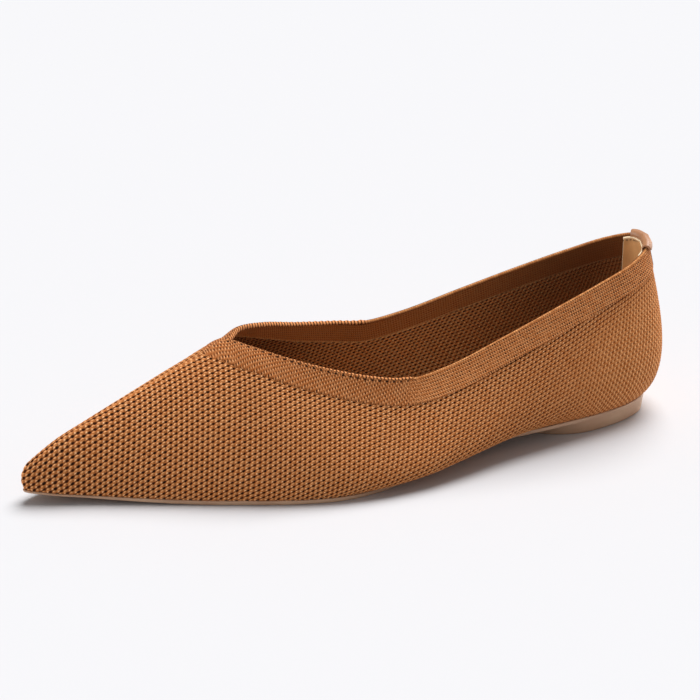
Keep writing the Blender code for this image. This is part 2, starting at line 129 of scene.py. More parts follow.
# The last, a row for each section from the heel's back to the toe's tip.
# foot, out, inn: place along the shoe of the wall's foot, its reach to the outer and the inner side.
# crest, shift, half, height: where the rib ends, on the collar or (half 0) on the ridge of the vamp.
# flare_out, flare_inn, rise: how the rib leaves its foot. shoulder, drop: how it comes to its crest.
# low_out: how much lower the outer side's collar is.
SECTION_COLUMNS = (
    "foot", "out", "inn", "crest", "shift", "half", "height",
    "flare_out", "flare_inn", "rise", "shoulder", "drop", "low_out",
)
SECTIONS = (
    (5.8, 0.0, 0.0, 6.3, -1.0, 0.0, 70.1, 13.2, 13.2, 11.5, 5.5, 24.0, 0.0),
    (9.0, 10.2, 10.2, 9.0, -0.6, 6.8, 69.9, 12.2, 12.2, 11.5, 5.5, 24.0, 1.6),
    (17.5, 16.0, 15.7, 17.5, -0.2, 11.4, 67.7, 10.4, 10.6, 12.0, 5.0, 24.0, 2.5),
    (32.0, 20.2, 19.7, 32.0, -0.5, 15.0, 63.1, 8.8, 8.8, 13.0, 5.0, 22.0, 2.5),
    (50.0, 22.6, 21.3, 50.0, -1.0, 18.4, 57.1, 10.7, 9.2, 8.5, 5.5, 20.0, 2.0),
    (75.0, 23.8, 20.5, 74.0, -1.5, 22.1, 49.0, 17.5, 11.5, 3.5, 6.0, 18.0, 1.5),
    (100.0, 28.6, 21.5, 98.0, -2.0, 25.0, 41.2, 22.0, 12.0, 2.5, 7.0, 16.0, 1.1),
    (115.0, 33.2, 24.0, 113.0, -2.5, 26.2, 38.3, 21.0, 11.0, 2.5, 7.0, 15.0, 0.7),
    (130.0, 37.6, 27.5, 126.0, -3.0, 25.6, 40.1, 15.0, 9.0, 3.5, 7.0, 14.0, 0.8),
    (145.0, 39.3, 31.5, 143.0, -4.0, 21.0, 43.9, 8.5, 6.5, 8.0, 7.0, 10.5, 0.8),
    (160.0, 36.9, 34.5, 158.5, -4.5, 14.5, 48.9, 5.0, 5.0, 12.0, 9.0, 8.0, 1.4),
    (171.0, 33.6, 35.0, 169.5, -5.0, 7.8, 51.5, 4.2, 4.2, 13.0, 12.6, 4.0, 0.9),
    (180.0, 30.5, 34.0, 176.5, -5.0, 0.0, 50.9, 3.6, 3.6, 13.0, 17.0, 2.0, 0.0),
    (198.0, 24.0, 29.5, 193.5, -5.0, 0.0, 43.9, 2.8, 2.8, 12.0, 12.6, 0.9, 0.0),
    (218.0, 16.4, 20.5, 213.0, -4.2, 0.0, 35.4, 2.3, 2.3, 9.0, 9.2, 0.3, 0.0),
    (236.0, 9.6, 11.5, 231.5, -2.6, 0.0, 27.9, 2.2, 2.2, 6.0, 6.0, 0.3, 0.0),
    (250.0, 4.5, 5.0, 245.5, -1.0, 0.0, 21.8, 2.2, 2.2, 5.0, 4.0, 0.4, 0.0),
    (257.4, 0.0, 0.0, 254.2, 0.0, 0.0, 16.6, 1.8, 1.8, 4.5, 3.0, 2.2, 0.0),
)
RING_COLUMNS = (
    "foot", "foot_y", "crest", "shift", "half", "height", "flare", "rise", "shoulder", "drop", "low",
)
THROAT_ROW = 12
TOE_ROW = len(SECTIONS) - 1
RING_ROWS = 2 * TOE_ROW
SPACING_POWER = 0.8


def smooth_ring(rows: Array, gaps: Array, where: Array) -> Array:
    """Values round a closed ring of rows: a cubic through the rows, its slopes weighed for uneven steps.

    Args:
        rows: the ring's rows, one after the other.
        gaps: the step from each row to the next.
        where: places on the ring, counted in rows, of any shape.

    Returns:
        A row of values for each place.
    """
    count = len(rows)
    first = np.floor(where).astype(int)
    share = (where - first)[..., None]
    before, here, after, beyond = (rows[(first + k) % count] for k in (-1, 0, 1, 2))
    gap_before, gap_here, gap_after = (gaps[(first + k) % count][..., None] for k in (-1, 0, 1))
    slope_before = (here - before) / gap_before
    slope_here = (after - here) / gap_here
    slope_after = (beyond - after) / gap_after
    leave = (slope_before * gap_here + slope_here * gap_before) / (gap_before + gap_here) * gap_here
    arrive = (slope_here * gap_after + slope_after * gap_here) / (gap_here + gap_after) * gap_here
    square = share**2
    cube = share**3
    return (
        (2 * cube - 3 * square + 1) * here
        + (cube - 2 * square + share) * leave
        + (3 * square - 2 * cube) * after
        + (cube - square) * arrive
    )


def section_ring(spacing_power: float) -> tuple[Array, Array]:
    """The sections as one closed ring, along the outer side to the toe and back along the inner side.

    Args:
        spacing_power: power of the plan distance that counts as the step between sections.

    Returns:
        The ring's rows, in the ring's columns, and the step from each row to the next.
    """
    outer = [dict(zip(SECTION_COLUMNS, row)) for row in SECTIONS]
    inner = outer[TOE_ROW - 1 : 0 : -1]
    rows = []
    for side, reach, sections in ((Side.OUTER, "out", outer), (Side.INNER, "inn", inner)):
        for section in sections:
            sided = dict(section, foot_y=side.value * section[reach], half=side.value * section["half"])
            sided["flare"] = section["flare_" + reach]
            sided["low"] = section["low_out"] if side is Side.OUTER else 0.0
            rows.append([sided[name] for name in RING_COLUMNS])
    station, out, inn = np.array(SECTIONS)[:, :3].T
    gaps = np.hypot(np.diff(station), np.diff((out + inn) / 2)) ** spacing_power
    return np.array(rows), np.concatenate([gaps, gaps[::-1]])


@dataclass(frozen=True)
class Last:
    """The shape of the last: a cubic rib at each place of the ring, from the wall's foot to its crest."""

    wall_thick: float = 1.6
    band_width: float = 9.8
    fit_gap: float = 0.3
    sole_thick: float = 1.7
    heel_rise: float = 5.6
    arch_front: float = 134.0
    arch_length: float = 88.0
    spring_start: float = 190.0
    spring_length: float = 65.5
    toe_spring: float = 3.2
    spring_power: float = 1.6
    toe_thin: float = 0.7
    thin_start: float = 195.0
    thin_length: float = 55.0
    heel_turn_start: float = 2.0
    heel_turn_rows: float = 3.0
    toe_turn_rows: float = 1.0
    middle_share: float = 0.45
    fine_count: int = 1701
    ring: tuple[Array, Array] = field(default_factory=lambda: section_ring(SPACING_POWER))

    def values(self, where: Array) -> dict[str, Array]:
        """The section columns at places of the ring; foot_y and half are signed, to the outer side."""
        found = smooth_ring(*self.ring, where)
        return {name: found[..., k] for k, name in enumerate(RING_COLUMNS)}

    def row(self, where: Array) -> tuple[Array, Array]:
        """The table row of each place, counted from the heel on both sides, and the sign of its side.

        Args:
            where: places round the ring.

        Returns:
            The rows, and 1 on the outer side or -1 on the inner one.
        """
        place = np.mod(where, RING_ROWS)
        outer = place <= TOE_ROW
        return np.where(outer, place, RING_ROWS - place), np.where(outer, 1.0, -1.0)

    def floor_line(self, station: Array) -> Array:
        """Height of the sole's underside: the heel's rise, the flat under the ball and the toe spring.

        Args:
            station: places along the shoe.

        Returns:
            The heights over the floor.
        """
        arch = self.heel_rise * smooth_step((self.arch_front - station) / self.arch_length)
        lift = np.clip((station - self.spring_start) / self.spring_length, 0.0, None)
        return arch + self.toe_spring * lift**self.spring_power

    def underside(self, station: Array) -> Array:
        """Height of the plate's underside, which thins towards the toe."""
        thinned = smooth_step((station - self.thin_start) / self.thin_length)
        return self.floor_line(station) + self.toe_thin * thinned

    def foot_height(self, station: Array) -> Array:
        """Height of the wall's foot, a fit gap above the sole."""
        return self.floor_line(station) + self.sole_thick + self.fit_gap

    def outline_normal(self, where: Array) -> Array:
        """Outward direction of the foot's outline in plan: its run over a small step, turned a quarter.

        Args:
            where: places round the ring.

        Returns:
            Unit vectors, with x and y in the last axis.
        """
        small = 0.001
        ahead = smooth_ring(*self.ring, where + small)[..., :2]
        behind = smooth_ring(*self.ring, where - small)[..., :2]
        run = ahead - behind
        return unit(np.stack([-run[..., 1], run[..., 0]], axis=-1))

    def outline(self, where: Array, reach: Array) -> Array:
        """The foot's outline in plan, moved outward by a reach.

        Args:
            where: places round the ring.
            reach: distance outward at each place.

        Returns:
            Points, with x and y in the last axis.
        """
        values = self.values(where)
        plan = np.stack([values["foot"], values["foot_y"]], axis=-1)
        return plan + self.outline_normal(where) * reach[..., None]

    def wall(self, where: Array, share: Array) -> Array:
        """Points of the wall: a cubic Bezier rib that leaves its foot outward and up and comes to its crest.

        Args:
            where: places round the ring.
            share: share of each rib, 0 at its foot and 1 at its crest, of a shape that fits where's.

        Returns:
            Points, with x, y, z in the last axis.
        """
        values = self.values(where)
        row, side = self.row(where)
        on_vamp = row >= THROAT_ROW
        half = np.where(on_vamp, 0.0, side * np.maximum(side * values["half"], 0.0))
        height = values["height"] - np.where(on_vamp, 0.0, np.maximum(values["low"], 0.0))
        foot = np.stack([values["foot"], values["foot_y"], self.foot_height(values["foot"])], axis=-1)
        crest = np.stack([values["crest"], values["shift"] + half, height], axis=-1)
        normal = self.outline_normal(where)
        at_heel = smooth_step((row - self.heel_turn_start) / self.heel_turn_rows)
        sideways = at_heel * smooth_step((TOE_ROW - row) / self.toe_turn_rows)
        top = unit(np.stack([normal[..., 0] * (1.0 - sideways), normal[..., 1]], axis=-1))
        leave = foot + raised(normal * values["flare"][..., None], values["rise"])
        arrive = crest + raised(top * values["shoulder"][..., None], -values["drop"])
        share = share[..., None]
        rest = 1.0 - share
        return rest**3 * foot + 3 * rest**2 * share * leave + 3 * rest * share**2 * arrive + share**3 * crest

    def side_normal(self, where: Array, share: Array) -> Array:
        """Outward normals of one side's wall: the cross of its run upward and its run along the ring.

        Args:
            where: places round the ring.
            share: share of each rib, 0 at its foot and 1 at its crest.

        Returns:
            Unit vectors.
        """
        small = 0.0005
        near_crest = 0.98
        level = np.minimum(share, near_crest)
        along = self.wall(where + small, level) - self.wall(where - small, level)
        above = self.wall(where, np.minimum(share + small, 1.0))
        below = self.wall(where, np.maximum(share - small, 0.0))
        return unit(np.cross(above - below, along))

    def normal(self, where: Array, share: Array) -> Array:
        """Outward normals, level at the foot; on the vamp's ridge both sides share one.

        Args:
            where: places round the ring.
            share: share of each rib, 0 at its foot and 1 at its crest.

        Returns:
            Unit vectors.
        """
        where, share = np.broadcast_arrays(where, share)
        normal = self.side_normal(where, share)
        level = unit(normal * np.array([1.0, 1.0, 0.0]))
        normal = np.where((share == 0.0)[..., None], level, normal)
        row, _ = self.row(where)
        ridge = (row >= THROAT_ROW) & (share == 1.0)
        other = self.side_normal(RING_ROWS - where[ridge], share[ridge])
        normal[ridge] = unit(normal[ridge] + other)
        return normal

    def upward(self, where: Array, share: Array) -> Array:
        """Direction up the wall: from a place a little lower on the rib to the place itself."""
        lower = 0.99
        return unit(self.wall(where, share) - self.wall(where, share * lower))

    def off_wall(self, where: Array, share: Array, out: Array) -> Array:
        """Points of the wall moved outward along its normals."""
        return self.wall(where, share) + self.normal(where, share) * out[..., None]

    def rib_length(self, where: Array, share: Array) -> tuple[Array, Array]:
        """Length up each rib to a share of it, and each rib's whole length.

        Args:
            where: places round the ring, one for each rib.
            share: shares for each rib, with one axis more than where.

        Returns:
            The length up to each share, and the length of each rib.
        """
        count = 80
        samples = np.linspace(0.0, 1.0, count + 1)
        length = run_lengths(self.wall(where[..., None], samples), axis=where.ndim)
        place = np.clip(share, 0.0, 1.0) * count
        low = np.minimum(place.astype(int), count - 1)
        below = np.take_along_axis(length, low, axis=-1)
        above = np.take_along_axis(length, low + 1, axis=-1)
        return blend(below, above, place - low), length[..., -1]

    def along(self, where: Array) -> Array:
        """Length along the outer side from the heel's back, at the wall's middle, of each place's row.

        Args:
            where: places round the ring.

        Returns:
            The lengths.
        """
        rows = np.linspace(0.0, TOE_ROW, self.fine_count)
        middle = self.wall(rows, np.full(len(rows), self.middle_share))
        return np.interp(self.row(where)[0], rows, run_lengths(middle))

    def even_places(self, count: int) -> Array:
        """Places of one side from the heel's back to the toe, at equal lengths along the wall.

        Args:
            count: how many places.

        Returns:
            The places, counted in table rows.
        """
        rows = np.linspace(0.0, TOE_ROW, self.fine_count)
        length = self.along(rows)
        return np.interp(np.linspace(0.0, length[-1], count), length, rows)

    def collar(self, count: int) -> tuple[Array, Array]:
        """The collar's edge from throat to throat round the heel: places of the ring and points."""
        where = np.linspace(-float(THROAT_ROW), float(THROAT_ROW), count)
        return where, self.wall(where, np.ones(count))

    def band_edge(self, where: Array) -> tuple[Array, Array]:
        """Where the collar band begins on each rib, and how far from the collar the rib's crest is.

        The band is all of the wall that lies within its width of the collar's edge.

        Args:
            where: places round the ring.

        Returns:
            The share of each rib where the band begins (1 where there is none) and the crest's distance,
            which is 0 along the collar.
        """
        lowest_share, share_count = 0.25, 91
        quarter_count, vamp_count, collar_count = 97, 101, 361
        shares = np.linspace(lowest_share, 1.0, share_count)
        quarter_rows = np.linspace(0.0, THROAT_ROW, quarter_count)
        rows = np.concatenate([quarter_rows, np.linspace(THROAT_ROW, TOE_ROW, vamp_count)[1:]])
        _, edge = self.collar(collar_count)
        row, sign = self.row(where)
        found = {}
        for side in Side:
            ribs = self.wall(side.value * rows[:, None], shares)
            away = np.array([np.linalg.norm(rib[:, None] - edge, axis=-1).min(axis=1) for rib in ribs])
            starts = np.ones(len(rows))
            for k, distance in enumerate(away):
                last = np.flatnonzero(distance >= self.band_width)[-1]
                if last < len(shares) - 1:
                    part = (distance[last] - self.band_width) / (distance[last] - distance[last + 1])
                    starts[k] = blend(shares[last], shares[last + 1], part)
            found[side] = [np.interp(row, rows, values) for values in (starts, away[:, -1])]
        start, away = (np.where(sign > 0, *pair) for pair in zip(found[Side.OUTER], found[Side.INNER]))
        return start, np.where(row >= THROAT_ROW, away, 0.0)


# The knit's stitches, read along the outer side.
# along: length from the heel's back. middle: height up the wall that the rates below belong to.
# column_back, column_up: columns crossed in a millimetre towards the heel and up. row_back, row_up: rows.
# open: size of the holes. edge_open: how much more they open under the collar band.
STITCH_COLUMNS = ("along", "middle", "column_back", "column_up", "row_back", "row_up", "open", "edge_open")
STITCHES = (
    (0.0, 28.0, 0.55, -0.08, -0.08, 0.52, 0.05, 0.10),
    (14.0, 28.0, 0.55, -0.10, -0.10, 0.52, 0.05, 0.15),
    (26.0, 28.0, 0.58, -0.12, -0.14, 0.54, 0.06, 0.25),
    (40.0, 27.0, 0.62, -0.17, -0.20, 0.57, 0.10, 0.35),
    (54.0, 26.0, 0.58, -0.18, -0.18, 0.58, 0.18, 0.45),
    (68.0, 26.0, 0.54, -0.19, -0.12, 0.61, 0.28, 0.55),
    (82.0, 25.0, 0.48, -0.18, -0.03, 0.62, 0.36, 0.60),
    (96.0, 25.0, 0.47, -0.20, 0.00, 0.62, 0.45, 0.55),
    (110.0, 22.0, 0.51, -0.24, -0.05, 0.63, 0.50, 0.50),
    (124.0, 20.0, 0.53, -0.21, -0.17, 0.60, 0.55, 0.45),
    (138.0, 20.0, 0.53, -0.13, -0.27, 0.60, 0.60, 0.40),
    (152.0, 21.0, 0.51, -0.08, -0.25, 0.55, 0.66, 0.35),
    (166.0, 22.0, 0.51, -0.08, -0.23, 0.55, 0.76, 0.25),
    (180.0, 22.0, 0.52, -0.08, -0.25, 0.53, 0.84, 0.20),
    (208.0, 22.0, 0.52, -0.05, -0.26, 0.48, 0.92, 0.10),
    (222.0, 19.0, 0.51, -0.03, -0.29, 0.47, 0.96, 0.05),
    (236.0, 16.0, 0.51, -0.03, -0.33, 0.46, 1.02, 0.00),
    (250.0, 12.0, 0.49, -0.01, -0.31, 0.44, 1.10, 0.00),
    (266.0, 8.0, 0.47, 0.05, -0.29, 0.36, 1.25, 0.00),
    (284.0, 7.0, 0.46, 0.06, -0.29, 0.32, 1.25, 0.00),
)


@dataclass(frozen=True)
class Knit:
    """The knit's lattice and relief: holes at whole columns and rows, ridges of stitches between them."""

    edge_fade: float = 5.0
    column_height: float = 0.08
    row_height: float = 0.20
    ridge_column: float = 0.6
    ridge_row: float = 0.55
    hole_depth: float = 0.35
    hole_spread: float = 0.22
    ease_reach: float = 9.0
    ease_count: int = 13
    sum_count: int = 570

    def table(self, along: Array) -> dict[str, Array]:
        """The stitch table's columns at lengths along the side, eased between its rows.

        Args:
            along: lengths from the heel's back.

        Returns:
            Values by the column's name.
        """
        rows = np.array(STITCHES)
        ease = np.linspace(-self.ease_reach, self.ease_reach, self.ease_count)
        spread = np.clip(along[..., None] + ease, rows[0, 0], rows[-1, 0])
        return {
            name: np.interp(spread, rows[:, 0], rows[:, k]).mean(axis=-1)
            for k, name in enumerate(STITCH_COLUMNS)
        }

    def lattice(self, along: Array, up: Array, below_band: Array) -> Array:
        """Column, row and openness of the knit at places of the wall.

        The column is the sum of columns crossed along the side at the middle height, and from there straight
        up or down; the row likewise. Openness is the table's, more just under the band.

        Args:
            along: length from the heel's back, one for each rib.
            up: length up each rib.
            below_band: length down from the band's lower edge.

        Returns:
            An array with column, row and openness in its last axis.
        """
        fine = np.linspace(0.0, STITCHES[-1][0], self.sum_count)
        table = self.table(fine)
        step = fine[1] - fine[0]
        slope = np.gradient(table["middle"], step)
        here = self.table(along[:, 0])
        found = []
        for name in ("column", "row"):
            rate = table[name + "_up"] * slope - table[name + "_back"]
            total = np.concatenate([[0.0], np.cumsum((rate[1:] + rate[:-1]) / 2) * step])
            at_middle = np.interp(along, fine, total)
            found.append(at_middle + here[name + "_up"][:, None] * (up - here["middle"][:, None]))
        near_edge = np.exp(-np.clip(below_band, 0.0, None) / self.edge_fade)
        opened = here["open"][:, None] + here["edge_open"][:, None] * near_edge
        return np.stack([found[0], found[1], opened], axis=-1)

    def relief(self, lattice: Array) -> Array:
        """Height of the knit over the wall: rounded ridges between columns and rows, a pit at each hole.

        A ridge is one cosine wave across a column or a row; the pit is a bell of the distance in both.

        Args:
            lattice: column, row and openness in the last axis.

        Returns:
            The height, about 0 in the mean, less in pits.
        """
        column, row, opened = np.moveaxis(lattice, -1, 0)
        upright = 0.5 * self.column_height * np.cos(2.0 * np.pi * (column - self.ridge_column))
        slanted = 0.5 * self.row_height * np.cos(2.0 * np.pi * (row - self.ridge_row))
        beside = column - np.round(column)
        above = row - np.round(row)
        pit = np.exp(-(beside**2 + above**2) / self.hole_spread**2) * np.minimum(opened, 1.0)
        return upright + slanted - self.hole_depth * pit


@dataclass
class Grid:
    """A surface on a grid of points, with values that go along to the mesh."""

    points: Array
    closed_rows: bool = False
    closed_columns: bool = False
    turned: bool = False
    values: dict[str, Array] = field(default_factory=dict)

    def faces(self, first: int) -> Array:
        """Corner numbers of the quads between neighbouring points, counted from a first number.

        Args:
            first: number of the grid's first point.

        Returns:
            Four corner numbers for each quad.
        """
        rows, columns = self.points.shape[:2]
        number = first + np.arange(rows * columns).reshape(rows, columns)
        if self.closed_rows:
            number = np.concatenate([number, number[:1]])
        if self.closed_columns:
            number = np.concatenate([number, number[:, :1]], axis=1)
        quads = np.stack([number[:-1, :-1], number[1:, :-1], number[1:, 1:], number[:-1, 1:]], axis=-1)
        quads = quads.reshape(-1, 4)
        return quads[:, ::-1] if self.turned else quads


@dataclass(frozen=True)
class Workshop:
    """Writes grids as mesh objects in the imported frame."""

    shift: Array
    weld_reach: float = 0.002

    def mesh(self, name: str, grids: Sequence[Grid], welded: bool = False) -> bpy.types.Object:
        """One smooth mesh object from grids of points.

        Args:
            name: the piece's name.
            grids: the surfaces to join.
            welded: whether points that meet are merged.

        Returns:
            The object, at the origin, with the grids' values as point attributes.
        """
        points = np.concatenate([grid.points.reshape(-1, 3) for grid in grids])
        starts = np.cumsum([0] + [grid.points.shape[0] * grid.points.shape[1] for grid in grids])
        faces = np.concatenate([grid.faces(first) for grid, first in zip(grids, starts)])
        mesh = bpy.data.meshes.new(name)
        mesh.from_pydata((points - self.shift) * METRES, [], faces)
        for label in grids[0].values:
            values = np.concatenate([grid.values[label].reshape(-1, 3) for grid in grids])
            attribute = mesh.attributes.new(label, "FLOAT_VECTOR", "POINT")
            attribute.data.foreach_set("vector", values.astype(np.float32).ravel())
        mesh.shade_smooth()
        piece = bpy.data.objects.new(name, mesh)
        bpy.context.scene.collection.objects.link(piece)
        if welded:
            merge = piece.modifiers.new("weld", "WELD")
            merge.merge_threshold = self.weld_reach * METRES
        return piece


def place_piece(piece: bpy.types.Object, material: bpy.types.Material, slot: Slot, *nodes: str) -> None:
    """Gives a piece its material and body, and hides the solids that it stands for.

    Args:
        piece: the new mesh object.
        material: its finish.
        slot: the record's slot for it; not used.
        nodes: names of the solids.
    """
    piece.data.materials.append(material)
    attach(piece, "root")
    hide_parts(*nodes)
    LOG.info("%s: %d faces", piece.name, len(piece.data.polygons))


@dataclass(frozen=True)
class Spot:
    """A tilted oval that repeats on a lattice: its middle in columns and rows, its half sizes in millimetres.

    column_run and row_run are the steps, to the heel and up, from one column and one row to the next.
    """

    middle: tuple[float, float]
    halves: tuple[float, float]
    tilt: float
    column_run: tuple[float, float] = (2.0, 1.1)
    row_run: tuple[float, float] = (0.3, 2.1)

    def weights(self) -> list[tuple[float, float]]:
        """What a column and a row add to the distance along the oval and across it, in its half sizes.

        Returns:
            The weights of a column and a row, first along the oval and then across it.
        """
        turn = np.radians(self.tilt)
        found = []
        for way, half in zip(((np.cos(turn), np.sin(turn)), (-np.sin(turn), np.cos(turn))), self.halves):
            found.append(tuple(float(np.dot(run, way)) / half for run in (self.column_run, self.row_run)))
        return found


class Wiring:
    """Adds nodes to one shader tree and links them."""

    def __init__(self, tree: bpy.types.NodeTree) -> None:
        """Keeps the tree that nodes are added to."""
        self.tree = tree

    def add(self, kind: str, **settings: object) -> bpy.types.Node:
        """A new node with its settings.

        Args:
            kind: the node's type.
            settings: its properties by name.

        Returns:
            The node.
        """
        node = self.tree.nodes.new(kind)
        for name, value in settings.items():
            setattr(node, name, value)
        return node

    def feed(self, socket: Socket, value: object) -> None:
        """Links a socket to another, or sets its value.

        Args:
            socket: the input.
            value: another node's socket, or a constant.
        """
        if isinstance(value, bpy.types.NodeSocket):
            self.tree.links.new(value, socket)
        else:
            socket.default_value = value

    def wire(self, node: bpy.types.Node, values: dict[str, object]) -> bpy.types.Node:
        """Feeds a node's inputs by their names and gives the node back.

        Args:
            node: the node.
            values: sockets or constants by input name.

        Returns:
            The same node.
        """
        for name, value in values.items():
            self.feed(node.inputs[name], value)
        return node

    def math(self, operation: str, *values: object, clamp: bool = False) -> Socket:
        """The result of a Math node on sockets or numbers.

        Args:
            operation: what the node does.
            values: its inputs in order.
            clamp: whether the result is held between 0 and 1.

        Returns:
            The result.
        """
        node = self.add("ShaderNodeMath", operation=operation, use_clamp=clamp)
        for socket, value in zip(node.inputs, values):
            self.feed(socket, value)
        return node.outputs[0]

    def times(self, first: object, *others: object) -> Socket:
        """The product of sockets and numbers."""
        return reduce(lambda total, value: self.math("MULTIPLY", total, value), others, first)

    def most(self, first: object, *others: object) -> Socket:
        """The largest of sockets and numbers."""
        return reduce(lambda total, value: self.math("MAXIMUM", total, value), others, first)

    def ramp(self, value: object, low: float, high: float, start: float = 0.0, end: float = 1.0) -> Socket:
        """A smooth change from start to end as a value goes from low to high.

        Args:
            value: what drives the change.
            low: the value where it begins.
            high: the value where it ends.
            start: the result up to low.
            end: the result from high on.

        Returns:
            The result.
        """
        node = self.add("ShaderNodeMapRange", interpolation_type="SMOOTHSTEP")
        for socket, given in zip(node.inputs, (value, low, high, start, end)):
            self.feed(socket, given)
        return node.outputs[0]

    def mix(self, factor: object, first: object, second: object) -> Socket:
        """A colour between two colours.

        Args:
            factor: share of the second colour.
            first: a colour.
            second: another colour.

        Returns:
            The colour.
        """
        node = self.add("ShaderNodeMix", data_type="RGBA")
        for name, given in (("Factor_Float", factor), ("A_Color", first), ("B_Color", second)):
            socket = next(one for one in node.inputs if one.identifier == name)
            self.feed(socket, (*given, 1.0) if isinstance(given, tuple) else given)
        return next(one for one in node.outputs if one.identifier == "Result_Color")

    def split(self, vector: Socket) -> list[Socket]:
        """The three parts of a vector."""
        return list(self.wire(self.add("ShaderNodeSeparateXYZ"), {"Vector": vector}).outputs)

    def noise(self, scale: float, detail: float, roughness: float) -> Socket:
        """A noise value on Object coordinates, which are metres.

        Args:
            scale: repeats in a metre.
            detail: finer layers.
            roughness: strength of those layers.

        Returns:
            The value, about 0.5 in the mean.
        """
        place = self.add("ShaderNodeTexCoord").outputs["Object"]
        values = {"Vector": place, "Scale": scale, "Detail": detail, "Roughness": roughness}
        return self.wire(self.add("ShaderNodeTexNoise"), values).outputs["Fac"]

    def off_middle(self, value: Socket, middle: float) -> Socket:
        """Signed distance to the nearest copy of a middle that repeats once in each whole number."""
        return self.math("SUBTRACT", self.math("FRACT", self.math("ADD", value, 0.5 - middle)), 0.5)

    def oval(self, column: Socket, row: Socket, spot: Spot) -> Socket:
        """Distance to the nearest copy of a lattice spot: 0 at its middle and 1 on its rim.

        Args:
            column: place across the lattice.
            row: place up the lattice.
            spot: the oval.

        Returns:
            The distance.
        """
        beside, above = (self.off_middle(*pair) for pair in zip((column, row), spot.middle))
        parts = []
        for by_column, by_row in spot.weights():
            part = self.math("MULTIPLY_ADD", beside, by_column, self.times(above, by_row))
            parts.append(self.times(part, part))
        return self.math("SQRT", self.math("ADD", *parts))

    def chance(self, column: Socket, row: Socket, spot: Spot, low: float) -> Socket:
        """A random value from low to 1, one for each copy of a lattice spot.

        Args:
            column: place across the lattice.
            row: place up the lattice.
            spot: the oval whose copies draw.
            low: the smallest value.

        Returns:
            The value, the same all over one copy's cell.
        """
        joined = self.add("ShaderNodeCombineXYZ")
        for socket, value, middle in zip(joined.inputs, (column, row), spot.middle):
            self.feed(socket, self.math("FLOOR", self.math("ADD", value, 0.5 - middle)))
        noise = self.add("ShaderNodeTexWhiteNoise", noise_dimensions="2D")
        self.feed(noise.inputs["Vector"], joined.outputs[0])
        return self.math("MULTIPLY_ADD", noise.outputs["Value"], 1.0 - low, low)

    def attribute(self, name: str) -> Socket:
        """A point attribute of the piece as a vector."""
        return self.add("ShaderNodeAttribute", attribute_name=name).outputs["Vector"]

    def group(self, tree: bpy.types.NodeTree, **values: object) -> bpy.types.Node:
        """A placed node group with its inputs fed."""
        return self.wire(self.add("ShaderNodeGroup", node_tree=tree), values)

    def bump(self, height: Socket, strength: float, depth: float) -> Socket:
        """A normal bumped by a height, with its depth in millimetres."""
        values = {"Strength": strength, "Distance": depth * METRES, "Height": height}
        return self.wire(self.add("ShaderNodeBump"), values).outputs["Normal"]


def new_group(
    name: str, vectors: Sequence[str], results: Sequence[str]
) -> tuple[Wiring, bpy.types.Node, bpy.types.Node]:
    """An empty shader node group with named sockets.

    Args:
        name: the group's name.
        vectors: names of its vector inputs.
        results: names of its outputs, which are plain values.

    Returns:
        The group's wiring, its input node and its output node.
    """
    tree = bpy.data.node_groups.new(name, "ShaderNodeTree")
    for label in vectors:
        tree.interface.new_socket(name=label, in_out="INPUT", socket_type="NodeSocketVector")
    for label in results:
        tree.interface.new_socket(name=label, in_out="OUTPUT", socket_type="NodeSocketFloat")
    wiring = Wiring(tree)
    return wiring, wiring.add("NodeGroupInput"), wiring.add("NodeGroupOutput")


def new_material(name: str, constants: dict[str, float]) -> tuple[bpy.types.Material, Wiring, bpy.types.Node]:
    """A new material with constants set on its shader's own sockets.

    Args:
        name: the material's name.
        constants: values by socket name.

    Returns:
        The material, its wiring and its shader.
    """
    material = bpy.data.materials.new(name)
    material.use_nodes = True
    shader = material.node_tree.nodes["Principled BSDF"]
    for label, value in constants.items():
        shader.inputs[label].default_value = value
    return material, Wiring(material.node_tree), shader


@dataclass(frozen=True)
class Grain:
    """Shader group of noises on Object coordinates, each with its scale, detail and roughness."""

    name: str
    noises: dict[str, tuple[float, float, float]]

    def tree(self) -> bpy.types.NodeTree:
        """The group, with an output for each noise, built at its first use.

        Returns:
            The group's tree.
        """
        built = bpy.data.node_groups.get(self.name)
        if built:
            return built
        w, _, end = new_group(self.name, (), tuple(self.noises))
        w.wire(end, {label: w.noise(*values) for label, values in self.noises.items()})
        return w.tree


YARN_GRAIN = Grain(
    "yarn_grain",
    {"Patches": (420.0, 3.0, 0.5), "Threads": (2600.0, 2.0, 0.5), "Fibre": (5200.0, 2.0, 0.6)},
)
HIDE_GRAIN = Grain("hide_grain", {"Patches": (180.0, 4.0, 0.5), "Pores": (1500.0, 3.0, 0.65)})
SOLE_GRAIN = Grain("sole_grain", {"Bloom": (60.0, 4.0, 0.5), "Fine": (1400.0, 4.0, 0.6)})
NOISE_SPAN = (0.2, 0.8)


